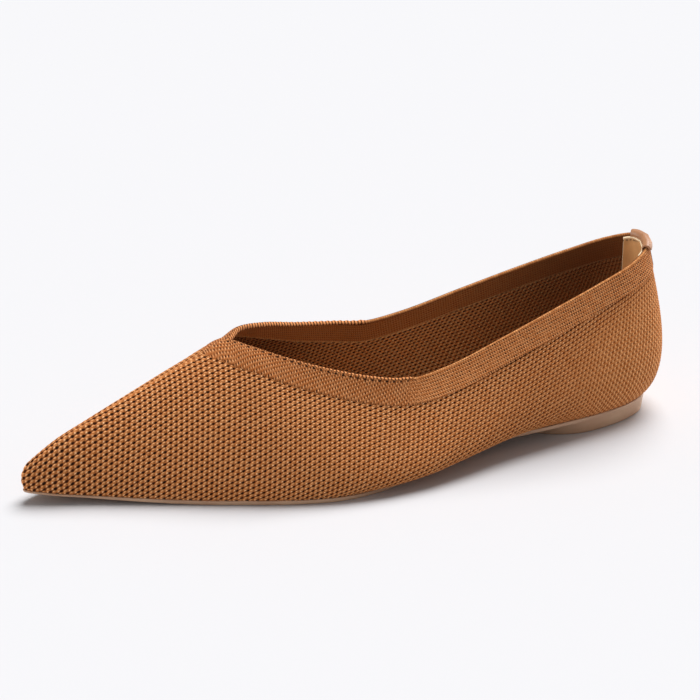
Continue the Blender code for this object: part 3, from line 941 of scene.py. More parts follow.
@dataclass(frozen=True)
class StitchPattern:
    """Shader group of the open knit: a hole, a bright and a duller stitch and a dip in each repeat, as masks
    for painted shade and painted light.

    A fade holds the two distances from a spot, in its half sizes, where its mask is 0 and where it is 1.
    """

    hole: Spot = Spot((0.0, 0.0), (0.64, 0.40), 34.0)
    dip: Spot = Spot((0.12, 0.42), (0.52, 0.36), 55.0)
    bright: Spot = Spot((0.48, 0.32), (0.68, 0.40), 40.0)
    dull: Spot = Spot((0.69, 0.76), (0.80, 0.36), 33.0)
    brick: Spot = Spot((0.56, 0.08), (0.95, 0.55), 78.0)
    hole_fade: Pair = (1.25, 0.55)
    ring_fade: Pair = (1.5, 0.5)
    dip_fade: Pair = (1.2, 0.2)
    crown_fade: Pair = (1.15, 0.2)
    brick_fade: Pair = (1.1, 0.2)
    glint_fade: Pair = (0.7, 0.1)
    seam_fade: Pair = (0.16, 0.02)
    closed_fade: Pair = (0.30, 0.05)
    seam_share: float = 0.75
    dip_share: float = 0.45
    dull_share: Pair = (0.5, 0.4)
    least_open: float = 0.3
    hole_gain: float = 1.5
    uneven: float = 0.6
    open_dark: Ramp = (0.0, 0.4, 0.5, 1.0)
    open_glint: Ramp = (0.1, 0.8, 0.25, 1.0)
    dark_depth: float = 0.7

    def build(self) -> bpy.types.NodeTree:
        """The group: its input is the lattice attribute, its outputs are a height and masks.

        Returns:
            The group's tree.
        """
        w, start, end = new_group("open_knit", ["Lattice"], ("Height", "Hole", "Crown", "Dark", "Glint"))
        column, row, opened = w.split(start.outputs["Lattice"])
        far_hole, far_dip, far_bright, far_dull, far_brick = (
            w.oval(column, row, spot) for spot in (self.hole, self.dip, self.bright, self.dull, self.brick)
        )
        hole_chance, bright_chance, dull_chance = (
            w.chance(column, row, spot, self.uneven) for spot in (self.hole, self.bright, self.dull)
        )
        hole = w.ramp(w.math("DIVIDE", far_hole, w.most(opened, self.least_open)), *self.hole_fade)
        hole = w.times(hole, w.math("MULTIPLY", opened, self.hole_gain, clamp=True), hole_chance)
        # Painted shade: a ring round each hole, a line along each row's seam and a dip in each repeat, weaker
        # where the knit is closed.
        ring = w.ramp(far_hole, *self.ring_fade)
        seam = w.times(w.ramp(w.math("ABSOLUTE", w.off_middle(row, 0.0)), *self.seam_fade), self.seam_share)
        dip = w.times(w.ramp(far_dip, *self.dip_fade), self.dip_share)
        dark = w.times(w.most(ring, seam, dip), w.ramp(opened, *self.open_dark))
        # Painted light: paler crowns on the bright and the dull stitches and on the closed knit's bricks.
        bright = w.times(w.ramp(far_bright, *self.crown_fade), bright_chance)
        duller = w.math("MULTIPLY_ADD", w.math("MINIMUM", opened, 1.0), *self.dull_share)
        dull = w.times(w.ramp(far_dull, *self.crown_fade), duller, dull_chance)
        brick = w.times(w.ramp(far_brick, *self.brick_fade), w.ramp(opened, *self.closed_fade))
        crown = w.most(bright, dull, brick)
        # Painted highlight on the bright stitch, mostly where the knit is open.
        glint = w.times(w.ramp(far_bright, *self.glint_fade), w.ramp(opened, *self.open_glint), bright_chance)
        height = w.math("SUBTRACT", w.math("MULTIPLY_ADD", dark, -self.dark_depth, crown), hole)
        w.wire(end, {"Height": height, "Hole": hole, "Crown": crown, "Dark": dark, "Glint": glint})
        return w.tree


@dataclass(frozen=True)
class Hatch:
    """A dense hatch: columns and rows crossed in a millimetre along and down, and its short strokes."""

    column_rate: Pair
    row_rate: Pair
    dark: Spot
    light: Spot
    stroke_fade: Pair = (1.2, 0.2)
    uneven: float = 0.5

    def masks(self, w: Wiring, along: Socket, depth: Socket) -> list[Socket]:
        """Masks of the dark and the light strokes.

        Args:
            w: the group's wiring.
            along: length along the band.
            depth: depth below the collar.

        Returns:
            The dark strokes' mask and the light strokes' mask.
        """
        column, row = (
            w.math("MULTIPLY_ADD", along, by_along, w.times(depth, by_depth))
            for by_along, by_depth in (self.column_rate, self.row_rate)
        )
        strokes = []
        for spot in (self.dark, self.light):
            stroke = w.ramp(w.oval(column, row, spot), *self.stroke_fade)
            strokes.append(w.times(stroke, w.chance(column, row, spot, self.uneven)))
        return strokes


FRONT_RUNS = ((1.18, 0.59), (-0.53, 1.09))
REAR_RUNS = ((1.0, -0.02), (-0.28, 1.26))
EYELET_PITCH = 2.8
EYELET_ROWS = 40.0


@dataclass(frozen=True)
class RibPattern:
    """Shader group of the dense collar band, hatched one way over the vamp and the other over the quarters.
    Its light and dark strokes are partly the hatch and partly painted light and shade.

    Its one row of eyelets runs along the vamp's edge, at the second depth once it is past its rise.
    """

    front: Hatch = Hatch(
        column_rate=(0.68, 0.33),
        row_rate=(-0.37, 0.74),
        dark=Spot((0.0, 0.0), (0.60, 0.34), 69.0, *FRONT_RUNS),
        light=Spot((0.45, 0.15), (0.60, 0.26), 69.0, *FRONT_RUNS),
    )
    rear: Hatch = Hatch(
        column_rate=(1.0, 0.22),
        row_rate=(0.02, 0.80),
        dark=Spot((0.0, 0.0), (0.68, 0.36), -45.0, *REAR_RUNS),
        light=Spot((0.44, 0.18), (0.66, 0.30), -45.0, *REAR_RUNS),
    )
    eyelet: Spot = Spot((0.5, 0.5), (0.74, 0.48), 28.0, (EYELET_PITCH, 0.0), (0.0, EYELET_ROWS))
    eyelet_fade: Pair = (1.2, 0.5)
    eyelet_depth: Pair = (0.3, 1.1)
    eyelet_rise: Pair = (112.0, 150.0)
    light_height: Pair = (0.6, 0.4)

    def build(self) -> bpy.types.NodeTree:
        """The group: its input is length along, depth below the collar (mm) and 1 on the vamp's part.

        Returns:
            The group's tree.
        """
        w, start, end = new_group("dense_rib", ["Place"], ("Height", "Dark", "Light", "Hole"))
        signed, depth, vamp = w.split(start.outputs["Place"])
        along = w.math("ABSOLUTE", signed)
        quarter = w.math("SUBTRACT", 1.0, vamp)
        dark, light = (
            w.math("ADD", w.times(front, vamp), w.times(rear, quarter))
            for front, rear in zip(self.front.masks(w, along, depth), self.rear.masks(w, along, depth))
        )
        column = w.math("DIVIDE", along, EYELET_PITCH)
        below = w.math("SUBTRACT", depth, w.ramp(along, *self.eyelet_rise, *self.eyelet_depth))
        row = w.math("MULTIPLY_ADD", below, 1.0 / EYELET_ROWS, 0.5)
        hole = w.times(w.ramp(w.oval(column, row, self.eyelet), *self.eyelet_fade), vamp)
        height = w.math("SUBTRACT", w.math("MULTIPLY_ADD", light, *self.light_height), w.most(dark, hole))
        w.wire(end, {"Height": height, "Dark": dark, "Light": light, "Hole": hole})
        return w.tree


@dataclass(frozen=True)
class YarnFinish:
    """Caramel yarn: matt, with paler tops that are painted light and brown depths that are painted shade. The
    bump's depth is in millimetres.
    """

    name: str
    base: Colour
    # pale is the yarn's paler patches and also painted light on stitch tops; the colour after it is the
    # yarn's darker threads and also painted shade; hole is painted shade seen in the holes; glint is a
    # painted highlight.
    pale: Colour
    dark_thread_and_shade: Colour
    hole: Colour = (0.03, 0.008, 0.002)
    glint: Colour = (1.0, 0.66, 0.39)
    bump_depth: float = 0.45
    bump_strength: float = 0.85
    fibre_height: float = 0.35
    pale_patches: Ramp = (0.35, 0.70, 0.0, 0.22)
    dark_threads: Ramp = (0.35, 0.75, 0.0, 0.30)
    pale_share: float = 0.95
    dark_share: float = 1.0
    glint_share: float = 0.8
    # front_shade darkens the band over the vamp and paints shade on the inside under the throat; the next
    # share paints shade on the inside towards the heel.
    front_shade: float = 0.0
    heel_painted_shade: float = 0.0
    roughness: Pair = (0.65, 0.87)
    sheen: float = 0.03
    sheen_roughness: float = 0.45
    specular: float = 0.06

    def start(self) -> tuple[bpy.types.Material, Wiring, bpy.types.Node]:
        """A new material, its wiring and its shader, with the constants set.

        Returns:
            The material, its wiring and its shader.
        """
        constants = {
            "Sheen Weight": self.sheen,
            "Sheen Roughness": self.sheen_roughness,
            "Specular IOR Level": self.specular,
        }
        return new_material(self.name, constants)

    def mottled(self, w: Wiring) -> Socket:
        """The base colour with the yarn's small changes of shade.

        Args:
            w: the material's wiring.

        Returns:
            The colour.
        """
        grain = w.group(YARN_GRAIN.tree()).outputs
        patched = w.mix(w.ramp(grain["Patches"], *self.pale_patches), self.base, self.pale)
        return w.mix(w.ramp(grain["Threads"], *self.dark_threads), patched, self.dark_thread_and_shade)

    def finish(self, w: Wiring, shader: bpy.types.Node, colour: Socket, height: Socket) -> None:
        """Wires colour, a changing roughness and a bump of pattern and fibre into the shader.

        Args:
            w: the material's wiring.
            shader: its shader.
            colour: the base colour.
            height: the pattern's height.
        """
        fibre = w.group(YARN_GRAIN.tree()).outputs["Fibre"]
        roughness = w.ramp(fibre, *NOISE_SPAN, *self.roughness)
        total = w.math("MULTIPLY_ADD", fibre, self.fibre_height, height)
        normal = w.bump(total, self.bump_strength, self.bump_depth)
        w.wire(shader, {"Base Color": colour, "Roughness": roughness, "Normal": normal})

    def stitch_colour(self, w: Wiring, stitch: bpy.types.Node) -> Socket:
        """Base colour with painted light on the stitches' crowns, painted shade in dips, painted highlights
        and painted shade, nearly black, in holes.

        Args:
            w: the material's wiring.
            stitch: the placed open knit.

        Returns:
            The colour.
        """
        masks = stitch.outputs
        colour = w.mix(w.times(masks["Dark"], self.dark_share), self.mottled(w), self.dark_thread_and_shade)
        colour = w.mix(w.times(masks["Crown"], self.pale_share), colour, self.pale)
        colour = w.mix(w.times(masks["Glint"], self.glint_share), colour, self.glint)
        return w.mix(masks["Hole"], colour, self.hole)

    def rib_colour(self, w: Wiring, rib: bpy.types.Node, shade: object = 0.0) -> Socket:
        """Base colour, less a shade, paler on light strokes and darker on dark ones, which is partly painted
        light and shade, and painted shade in eyelets.

        Args:
            w: the material's wiring.
            rib: the placed dense rib.
            shade: share of the darker colour.

        Returns:
            The colour.
        """
        masks = rib.outputs
        colour = w.mix(shade, self.mottled(w), self.dark_thread_and_shade)
        colour = w.mix(w.times(masks["Light"], self.pale_share), colour, self.pale)
        colour = w.mix(w.times(masks["Dark"], self.dark_share), colour, self.dark_thread_and_shade)
        return w.mix(masks["Hole"], colour, self.hole)

    def open_knit(self, pattern: bpy.types.NodeTree) -> bpy.types.Material:
        """The open knit of the vamp and quarters, read from the lattice attribute.

        Args:
            pattern: the open knit's group.

        Returns:
            The material.
        """
        material, w, shader = self.start()
        stitch = w.group(pattern, Lattice=w.attribute("lattice"))
        self.finish(w, shader, self.stitch_colour(w, stitch), stitch.outputs["Height"])
        return material

    def dense_rib(self, pattern: bpy.types.NodeTree) -> bpy.types.Material:
        """The dense rib of the collar band, read from the band attribute.

        Args:
            pattern: the dense rib's group.

        Returns:
            The material.
        """
        material, w, shader = self.start()
        place = w.attribute("band")
        rib = w.group(pattern, Place=place)
        shade = w.times(w.split(place)[2], self.front_shade)
        self.finish(w, shader, self.rib_colour(w, rib, shade), rib.outputs["Height"])
        return material

    def wound(self, pitch: float, rolled: "YarnFinish", rolled_pitch: float) -> bpy.types.Material:
        """The collar's edge: wound with thread along the quarters, rolled in another yarn over the vamp.

        Args:
            pitch: length in millimetres of one thread.
            rolled: the yarn of the rolled part.
            rolled_pitch: length of one stitch of the rolled part.

        Returns:
            The material.
        """
        thread_fade = (0.5, 0.1)
        painted_inner_shade = (0.35, -0.45, 0.0, 0.7)
        one_turn = Spot((0.5, 0.5), (1.0, 1.0), 0.0)
        least_shine = 0.15
        roll_pale = 0.4
        material, w, shader = self.start()
        along, side, vamp = w.split(w.attribute("band"))
        turns = [w.math("DIVIDE", along, length) for length in (pitch, rolled_pitch)]
        threads = [w.ramp(w.math("ABSOLUTE", w.off_middle(turn, 0.5)), *thread_fade) for turn in turns]
        # Painted light on the middle of each wound thread, of random strength.
        shine = w.chance(turns[0], turns[0], one_turn, least_shine)
        cord = w.mix(w.times(threads[0], shine), self.mottled(w), self.pale)
        # Painted shade on the cord's inward side.
        cord = w.mix(w.ramp(side, *painted_inner_shade), cord, self.dark_thread_and_shade)
        # The rolled part: paler stitches with painted shade between them.
        roll = w.mix(threads[1], rolled.dark_thread_and_shade, w.mix(roll_pale, rolled.base, rolled.pale))
        self.finish(w, shader, w.mix(vamp, cord, roll), w.most(*threads))
        return material

    def wrong_side(
        self, knit: bpy.types.NodeTree, dense: bpy.types.NodeTree, band_width: float
    ) -> bpy.types.Material:
        """The knit's inside: the open knit below and the rib within the band's width of the collar.

        Args:
            knit: the open knit's group.
            dense: the dense rib's group.
            band_width: depth of the band below the collar.

        Returns:
            The material, with painted shade that darkens it towards the heel and, below the band, under the
            throat.
        """
        join = 0.3
        rib_flatter = 0.3
        rib_darker = 0.45
        join_line = (0.7, 0.2, 0.0, 0.4)
        heel_reach = (120.0, 30.0)
        throat_reach = (130.0, 180.0)
        material, w, shader = self.start()
        stitch = w.group(knit, Lattice=w.attribute("lattice"))
        place = w.attribute("band")
        rib = w.group(dense, Place=place)
        along, depth, _ = w.split(place)
        low = w.ramp(depth, band_width - join, band_width + join)
        smooth = w.mix(rib_darker, w.mix(rib_flatter, self.rib_colour(w, rib), self.base), self.dark_thread_and_shade)
        colour = w.mix(low, smooth, self.stitch_colour(w, stitch))
        line = w.ramp(w.math("ABSOLUTE", w.math("SUBTRACT", depth, band_width)), *join_line)
        colour = w.mix(line, colour, self.pale)
        # Painted shade on the inside towards the heel and, below the band, under the throat.
        at_heel = w.ramp(along, *heel_reach, 0.0, self.heel_painted_shade)
        painted_throat_shade = w.times(w.ramp(along, *throat_reach, 0.0, self.front_shade), low)
        colour = w.mix(w.most(at_heel, painted_throat_shade), colour, self.dark_thread_and_shade)
        self.finish(w, shader, colour, w.times(stitch.outputs["Height"], low))
        return material


@dataclass(frozen=True)
class HideFinish:
    """Smooth or lining leather: fine grain, small changes of shade and a cut edge marked by an attribute."""

    name: str
    base: Colour
    shade: Colour
    edge: Colour
    roughness: float
    coat: float = 0.0
    coat_roughness: float = 0.35
    thread: Colour = (0.06, 0.028, 0.012)
    patch_span: Pair = (0.3, 0.7)
    pore_shade: Ramp = (0.55, 0.75, 0.0, 0.3)
    gloss_change: Pair = (-0.08, 0.10)
    pore_strength: float = 0.35
    pore_depth: float = 0.12

    def material(self) -> bpy.types.Material:
        """The leather's material; its edge attribute holds the cut edge in x and the stitches in y.

        Returns:
            The material.
        """
        constants = {"Coat Weight": self.coat, "Coat Roughness": self.coat_roughness}
        material, w, shader = new_material(self.name, constants)
        cut, stitch, _ = w.split(w.attribute("edge"))
        grain = w.group(HIDE_GRAIN.tree()).outputs
        colour = w.mix(w.ramp(grain["Patches"], *self.patch_span), self.base, self.shade)
        colour = w.mix(w.ramp(grain["Pores"], *self.pore_shade), colour, self.shade)
        colour = w.mix(cut, colour, self.edge)
        colour = w.mix(stitch, colour, self.thread)
        gloss = (self.roughness + change for change in self.gloss_change)
        roughness = w.ramp(grain["Pores"], *NOISE_SPAN, *gloss)
        normal = w.bump(grain["Pores"], self.pore_strength, self.pore_depth)
        w.wire(shader, {"Base Color": colour, "Roughness": roughness, "Normal": normal})
        return material


@dataclass(frozen=True)
class MouldedFinish:
    """Smooth moulded taupe: satin, with a faint bloom and small scuffs."""

    name: str = "moulded_taupe"
    base: Colour = (0.44, 0.255, 0.155)
    pale: Colour = (0.52, 0.33, 0.21)
    scuff: Colour = (0.30, 0.18, 0.11)
    bloom_span: Pair = (0.3, 0.7)
    scuff_share: Ramp = (0.58, 0.8, 0.0, 0.4)
    roughness: Pair = (0.36, 0.52)
    fine_strength: float = 0.15
    fine_depth: float = 0.08

    def material(self) -> bpy.types.Material:
        """The sole's material.

        Returns:
            The material.
        """
        material, w, shader = new_material(self.name, {})
        grain = w.group(SOLE_GRAIN.tree()).outputs
        colour = w.mix(w.ramp(grain["Bloom"], *self.bloom_span), self.base, self.pale)
        colour = w.mix(w.ramp(grain["Fine"], *self.scuff_share), colour, self.scuff)
        roughness = w.ramp(grain["Fine"], *NOISE_SPAN, *self.roughness)
        normal = w.bump(grain["Fine"], self.fine_strength, self.fine_depth)
        w.wire(shader, {"Base Color": colour, "Roughness": roughness, "Normal": normal})
        return material


@dataclass
class KnitUpper:
    """The knitted upper: the open knit of both sides, the dense collar band, its edge and the inside.

    Pairs of rim sizes are those along the quarters and over the vamp; changes are in table rows.
    """

    last: Last
    knit: Knit
    workshop: Workshop
    along_count: int = 676
    up_count: int = 140
    foot_fade: float = 1.2
    ridge_fade: float = 1.6
    foot_tuck: Pair = (0.3, 0.45)
    under_band: float = 1.0
    under_sink: float = 0.3
    guide_count: int = 700
    band_along: int = 1401
    band_across: int = 34
    band_step: float = 0.4
    band_fade: float = 7.0
    band_tuck: float = 0.35
    edge_drop: float = 0.25
    edge_shares: Pair = (0.02, 0.05)
    hatch_change: Pair = (6.4, 1.2)
    collar_count: int = 1601
    rim_along: int = 1100
    rim_points: int = 14
    rim_width: Pair = (0.80, 0.95)
    rim_height: Pair = (0.44, 0.60)
    rim_relief: Pair = (0.0, 0.16)
    rim_change: Pair = (6.9, 7.1)
    rim_sink: float = 0.1
    kink_lift: float = 0.6
    kink_rows: float = 1.2
    bead_pitch: float = EYELET_PITCH
    rim_thread: float = 0.9
    roll_thread: float = 1.4
    lining_along: int = 900
    lining_up: int = 56
    inside_open: float = 1.25
    hem_drop: float = 0.1

    def lattice_at(self, where: Array, share: Array) -> Array:
        """The knit's lattice on ribs; the inner side mirrors the outer one, rib by rib.

        Args:
            where: places round the ring, one for each rib.
            share: share of each rib, 0 at its foot and 1 at its crest.

        Returns:
            Column, row and openness in the last axis.
        """
        row, _ = self.last.row(where)
        up_own, own = self.last.rib_length(where, share)
        _, outer = self.last.rib_length(row, share)
        starts, _ = self.last.band_edge(where)
        up_start, _ = self.last.rib_length(where, starts[:, None])
        along = np.broadcast_to(self.last.along(where)[:, None], share.shape)
        mirrored = up_own * (outer / own)[:, None]
        return self.knit.lattice(along, mirrored, up_start - up_own)

    def side_knit(self, side: Side) -> bpy.types.Object:
        """The open knit of one side, from the sole up to just under the band or to the vamp's ridge.

        Each point is the wall's point moved out by the knit's relief, which fades at the foot.

        Args:
            side: the side of the shoe.

        Returns:
            The piece.
        """
        where = side.value * self.last.even_places(self.along_count)
        starts, _ = self.last.band_edge(where)
        _, length = self.last.rib_length(where, starts[:, None])
        top = np.minimum(starts + self.under_band / length, 1.0)
        share = top[:, None] * np.linspace(0.0, 1.0, self.up_count)
        lattice = self.lattice_at(where, share)
        up, _ = self.last.rib_length(where, share)
        on_vamp = (self.last.row(where)[0] >= THROAT_ROW)[:, None]
        off_ridge = np.where(on_vamp, smooth_step((length[:, None] - up) / self.ridge_fade), 1.0)
        lattice[..., 2] *= off_ridge
        relief = self.knit.relief(lattice) * smooth_step(up / self.foot_fade) * off_ridge
        covered = smooth_step((share - starts[:, None]) * length[:, None] / self.under_band)
        relief = relief - covered * np.where(starts < 1.0, self.under_sink, 0.0)[:, None]
        normal = self.last.normal(where[:, None], share)
        points = self.last.wall(where[:, None], share) + normal * relief[..., None]
        tuck_in, tuck_down = self.foot_tuck
        tucked = points[:, :1] - normal[:, :1] * tuck_in - np.array([0.0, 0.0, tuck_down])
        points = np.concatenate([tucked, points], axis=1)
        lattice = np.concatenate([lattice[:, :1], lattice], axis=1)
        grid = Grid(points, turned=side is Side.OUTER, values={"lattice": lattice})
        return self.workshop.mesh("knit_" + side.name.lower(), [grid])

    def apex(self, side: Side) -> float:
        """The table row on the vamp's ridge where the band ends.

        Args:
            side: the side of the shoe.

        Returns:
            The row.
        """
        search_rows, search_count = 3.0, 121
        rows = np.linspace(THROAT_ROW, THROAT_ROW + search_rows, search_count)
        _, away = self.last.band_edge(side.value * rows)
        return float(np.interp(self.last.band_width, away, rows))

    def band(self) -> bpy.types.Object:
        """The dense collar band, a step proud of the knit, from the ridge round the heel to the ridge.

        Each point is the wall's moved out by the step, which fades at both ends; the lower edge turns in.

        Returns:
            The piece.
        """
        inner_half = np.linspace(-self.apex(Side.INNER), 0.0, self.guide_count)
        outer_half = np.linspace(0.0, self.apex(Side.OUTER), self.guide_count)
        guide = np.concatenate([inner_half[:-1], outer_half])
        starts, _ = self.last.band_edge(guide)
        length = run_lengths(self.last.wall(guide, (starts + 1.0) / 2))
        along = np.linspace(0.0, length[-1], self.band_along)
        where = np.interp(along, length, guide)
        starts, crest = self.last.band_edge(where)
        starts[[0, -1]] = 1.0
        second, third = self.edge_shares
        across = np.concatenate([[0.0, second], np.linspace(third, 1.0, self.band_across - 2)])
        share = blend(starts[:, None], 1.0, across)
        low = self.last.band_width
        depth = blend(low, crest[:, None], across)
        fade = np.clip((low - crest) / self.band_fade, 0.0, 1.0)
        lift = np.where(across == 0.0, -self.band_tuck, self.band_step)
        lift = lift - np.where(across == second, self.edge_drop, 0.0)
        points = self.last.off_wall(where[:, None], share, lift * fade[:, None])
        change_start, change_rows = self.hatch_change
        vamp = smooth_step((self.last.row(where)[0] - change_start) / change_rows)
        centred = along - length[-1] / 2
        place = np.stack(np.broadcast_arrays(centred[:, None], depth, vamp[:, None]), axis=-1)
        grid = Grid(points, turned=True, values={"band": place})
        return self.workshop.mesh("collar_band", [grid], welded=True)

    def rolled(self, where: Array) -> Array:
        """1 along the vamp, where the edge is rolled, and 0 along the quarters, where it is wound."""
        low, high = self.rim_change
        return smooth_step((self.last.row(where)[0] - low) / (high - low))

    def rim(self) -> bpy.types.Object:
        """The collar's edge: an oval tube along the collar, wound with small stitches.

        The tube is wider across the wall than it is high. Over the vamp its radius swells a little once in
        each stitch, and it stands higher just past the change.

        Returns:
            The piece.
        """
        guide, edge = self.last.collar(self.collar_count)
        length = run_lengths(edge)
        along = np.linspace(0.0, length[-1], self.rim_along + 1)[:-1]
        where = np.interp(along, length, guide)
        ends = np.ones_like(where)
        crest = self.last.wall(where, ends)[:, None]
        normal = self.last.normal(where, ends)[:, None]
        upward = self.last.upward(where, ends)[:, None]
        middle = (self.band_step - self.last.wall_thick) / 2
        turn = np.arange(self.rim_points) * 2.0 * np.pi / self.rim_points
        rolled = self.rolled(where)[:, None]
        wound = 2.0 * np.pi * along[:, None] / self.bead_pitch + turn
        width, height, relief = (
            blend(*sizes, rolled) for sizes in (self.rim_width, self.rim_height, self.rim_relief)
        )
        swell = 1.0 + relief * np.cos(wound)
        past_change = np.clip(self.last.row(where)[0] - self.rim_change[1], 0.0, None)[:, None]
        kink = self.kink_lift * rolled * np.exp(-past_change / self.kink_rows)
        out = middle + width * np.cos(turn) * swell
        rise = height * np.sin(turn) * swell - self.rim_sink + kink
        points = crest + normal * out[..., None] + upward * rise[..., None]
        place = np.stack(np.broadcast_arrays(along[:, None], np.cos(turn), rolled), axis=-1)
        grid = Grid(points, closed_rows=True, closed_columns=True, values={"band": place})
        return self.workshop.mesh("collar_edge", [grid])

    def inside(self) -> bpy.types.Object:
        """The knit's inside, a wall's thickness in from the last, and the turned hem under the wall's foot.

        Returns:
            The piece.
        """
        half = self.last.even_places(self.lining_along // 2)
        where = np.concatenate([half, RING_ROWS - half[-2:0:-1]])
        share = np.broadcast_to(np.linspace(0.0, 1.0, self.lining_up), (len(where), self.lining_up))
        points = self.last.off_wall(where[:, None], share, np.full(share.shape, -self.last.wall_thick))
        foot = self.last.wall(where, np.zeros(len(where)))
        hem = points[:, 0] - np.array([0.0, 0.0, self.hem_drop])
        points = np.concatenate([foot[:, None], hem[:, None], points], axis=1)
        lattice = self.lattice_at(where, share) * np.array([1.0, 1.0, self.inside_open])
        up, length = self.last.rib_length(where, share)
        _, crest = self.last.band_edge(where)
        depth = length[:, None] - up + crest[:, None]
        along = np.broadcast_to(self.last.along(where)[:, None], share.shape)
        place = np.stack([along, depth, np.zeros_like(depth)], axis=-1)
        values = {
            label: np.concatenate([given[:, :1], given[:, :1], given], axis=1)
            for label, given in (("lattice", lattice), ("band", place))
        }
        grid = Grid(points, closed_rows=True, values=values)
        return self.workshop.mesh("knit_inside", [grid])

    def dress(self, outside: YarnFinish, ribbed: YarnFinish, edge: YarnFinish, lining: YarnFinish) -> None:
        """Builds the upper's pieces and gives them their yarns.

        Args:
            outside: yarn of the open knit.
            ribbed: yarn of the band and of the rolled edge.
            edge: yarn of the wound cord.
            lining: yarn as seen from inside.
        """
        stitches = StitchPattern().build()
        ribs = RibPattern().build()
        open_knit = outside.open_knit(stitches)
        cord = edge.wound(self.rim_thread, ribbed, self.roll_thread)
        wrong_side = lining.wrong_side(stitches, ribs, self.last.band_width)
        for side in Side:
            place_piece(self.side_knit(side), open_knit, Slot.KNIT, "upper")
        place_piece(self.band(), ribbed.dense_rib(ribs), Slot.KNIT, "upper")
        place_piece(self.rim(), cord, Slot.KNIT, "upper")
        place_piece(self.inside(), wrong_side, Slot.KNIT, "upper")


# The heel block's outline on the floor, from its back to its rounded breast.
# Each row holds the place along the shoe and the reach to a side.
HEEL_OUTLINE = (
    (6.0, 0.0),
    (9.0, 9.8),
    (17.2, 15.4),
    (30.0, 19.5),
    (40.0, 20.7),
    (50.0, 18.6),
    (58.0, 14.0),
    (63.5, 7.5),
    (65.5, 0.0),
)


@dataclass
class MouldedSole:
    """The moulded sole: a thin plate that follows the last and a low oval heel in one with it."""

    last: Last
    workshop: Workshop
    ledge: float = 0.4
    edge_round: float = 0.5
    top_round: float = 0.25
    toe_round: float = 0.7
    toe_thin_from: float = 222.0
    toe_thin_length: float = 30.0
    waist_inset: float = 0.9
    waist_back: float = 58.0
    waist_front: float = 132.0
    waist_ease: float = 22.0
    heel_flare: float = 0.35
    heel_flush: float = 0.35
    flush_front: float = 52.0
    flush_length: float = 18.0
    heel_round: float = 0.6
    heel_middle: float = 34.0
    under_shares: tuple[float, ...] = (0.0, 0.35, 0.7, 0.94)
    wall_shares: tuple[float, float, int] = (0.15, 1.0, 10)
    heel_overlap: float = 0.35
    top_margin: float = 0.5
    joined_front: float = 38.0
    joined_length: float = 12.0
    top_tuck: float = 1.2
    along_count: int = 420
    across_shares: tuple[float, float, int] = (0.02, 0.98, 9)
    round_count: int = 5
    heel_count: int = 240

    def waist(self, station: Array) -> Array:
        """How far the plate draws in along the waist, under the overhanging wall.

        Args:
            station: places along the shoe.

        Returns:
            The distance inward.
        """
        behind = smooth_step((station - self.waist_back) / self.waist_ease)
        ahead = smooth_step((self.waist_front - station) / self.waist_ease)
        return self.waist_inset * behind * ahead

    def plate(self) -> Grid:
        """The plate: at each row of the last a closed cross loop, flat above and below, its edges rounded.

        Returns:
            The plate's grid, closed across; its two ends come to a point.
        """
        rows = self.last.even_places(self.along_count)
        station = self.last.values(rows)["foot"]
        bottom = self.last.underside(station)
        thick = self.last.floor_line(station) + self.last.sole_thick - bottom
        reach = self.ledge - self.waist(station)
        turn = np.linspace(0.0, np.pi / 2, self.round_count)
        at_toe = smooth_step((station - self.toe_thin_from) / self.toe_thin_length)
        low, high = blend(self.edge_round, self.toe_round, at_toe), self.top_round
        edge = [(low * (1.0 - np.cos(t)), low * (1.0 - np.sin(t))) for t in turn[::-1]]
        edge += [(high * (1.0 - np.cos(t)), thick - high * (1.0 - np.sin(t))) for t in turn]
        loops = []
        for side in Side:
            profile = edge if side is Side.OUTER else edge[::-1]
            for draw, height in profile:
                loops.append(raised(self.last.outline(side.value * rows, reach - draw), bottom + height))
            flat_reach = reach - profile[-1][0]
            here, across = (self.last.outline(way * side.value * rows, flat_reach) for way in (1.0, -1.0))
            level = bottom + thick if side is Side.OUTER else bottom
            loops += [raised(blend(here, across, part), level) for part in np.linspace(*self.across_shares)]
        return Grid(np.stack(loops, axis=1), closed_columns=True)

    def heel(self) -> Grid:
        """The low heel: an oval ring carried up a profile, flush with the plate's edge at the back.

        Returns:
            The heel's grid, closed round, from the middle of its underside to inside the plate.
        """
        side = np.array(HEEL_OUTLINE)
        mirrored = side[-2:0:-1] * np.array([1.0, -1.0])
        rows = np.concatenate([side, mirrored])
        gaps = np.linalg.norm(np.roll(rows, -1, axis=0) - rows, axis=1)
        where = np.arange(self.heel_count) * len(rows) / self.heel_count
        plan = smooth_ring(rows, gaps, where)
        run = np.roll(plan, -1, axis=0) - np.roll(plan, 1, axis=0)
        normal = unit(np.stack([-run[:, 1], run[:, 0]], axis=-1))
        station = plan[:, 0]
        flush = smooth_step((self.flush_front - station) / self.flush_length)
        flare = self.heel_flare + self.heel_flush * flush
        joined = smooth_step((self.joined_front - station) / self.joined_length)
        top = self.last.floor_line(station) + self.heel_overlap
        top = top + (self.last.sole_thick - self.top_margin) * joined
        middle = np.array([self.heel_middle, 0.0])
        under = plan - normal * self.heel_round
        loops = [raised(blend(middle, under, share), 0.0) for share in self.under_shares]
        for turn in np.linspace(0.0, np.pi / 2, self.round_count):
            ring = plan - normal * self.heel_round * (1.0 - np.sin(turn))
            loops.append(raised(ring, self.heel_round * (1.0 - np.cos(turn))))
        for share in np.linspace(*self.wall_shares):
            ring = plan + normal * (flare * share)[:, None]
            loops.append(raised(ring, blend(self.heel_round, top, share)))
        loops.append(raised(plan + normal * (flare - self.top_tuck)[:, None], top))
        return Grid(np.stack(loops, axis=1), closed_rows=True, turned=True)

    def dress(self, finish: MouldedFinish) -> None:
        """Builds the sole and gives it its finish."""
        piece = self.workshop.mesh("moulded_sole", [self.plate(), self.heel()], welded=True)
        place_piece(piece, finish.material(), Slot.SOLE, "sole")


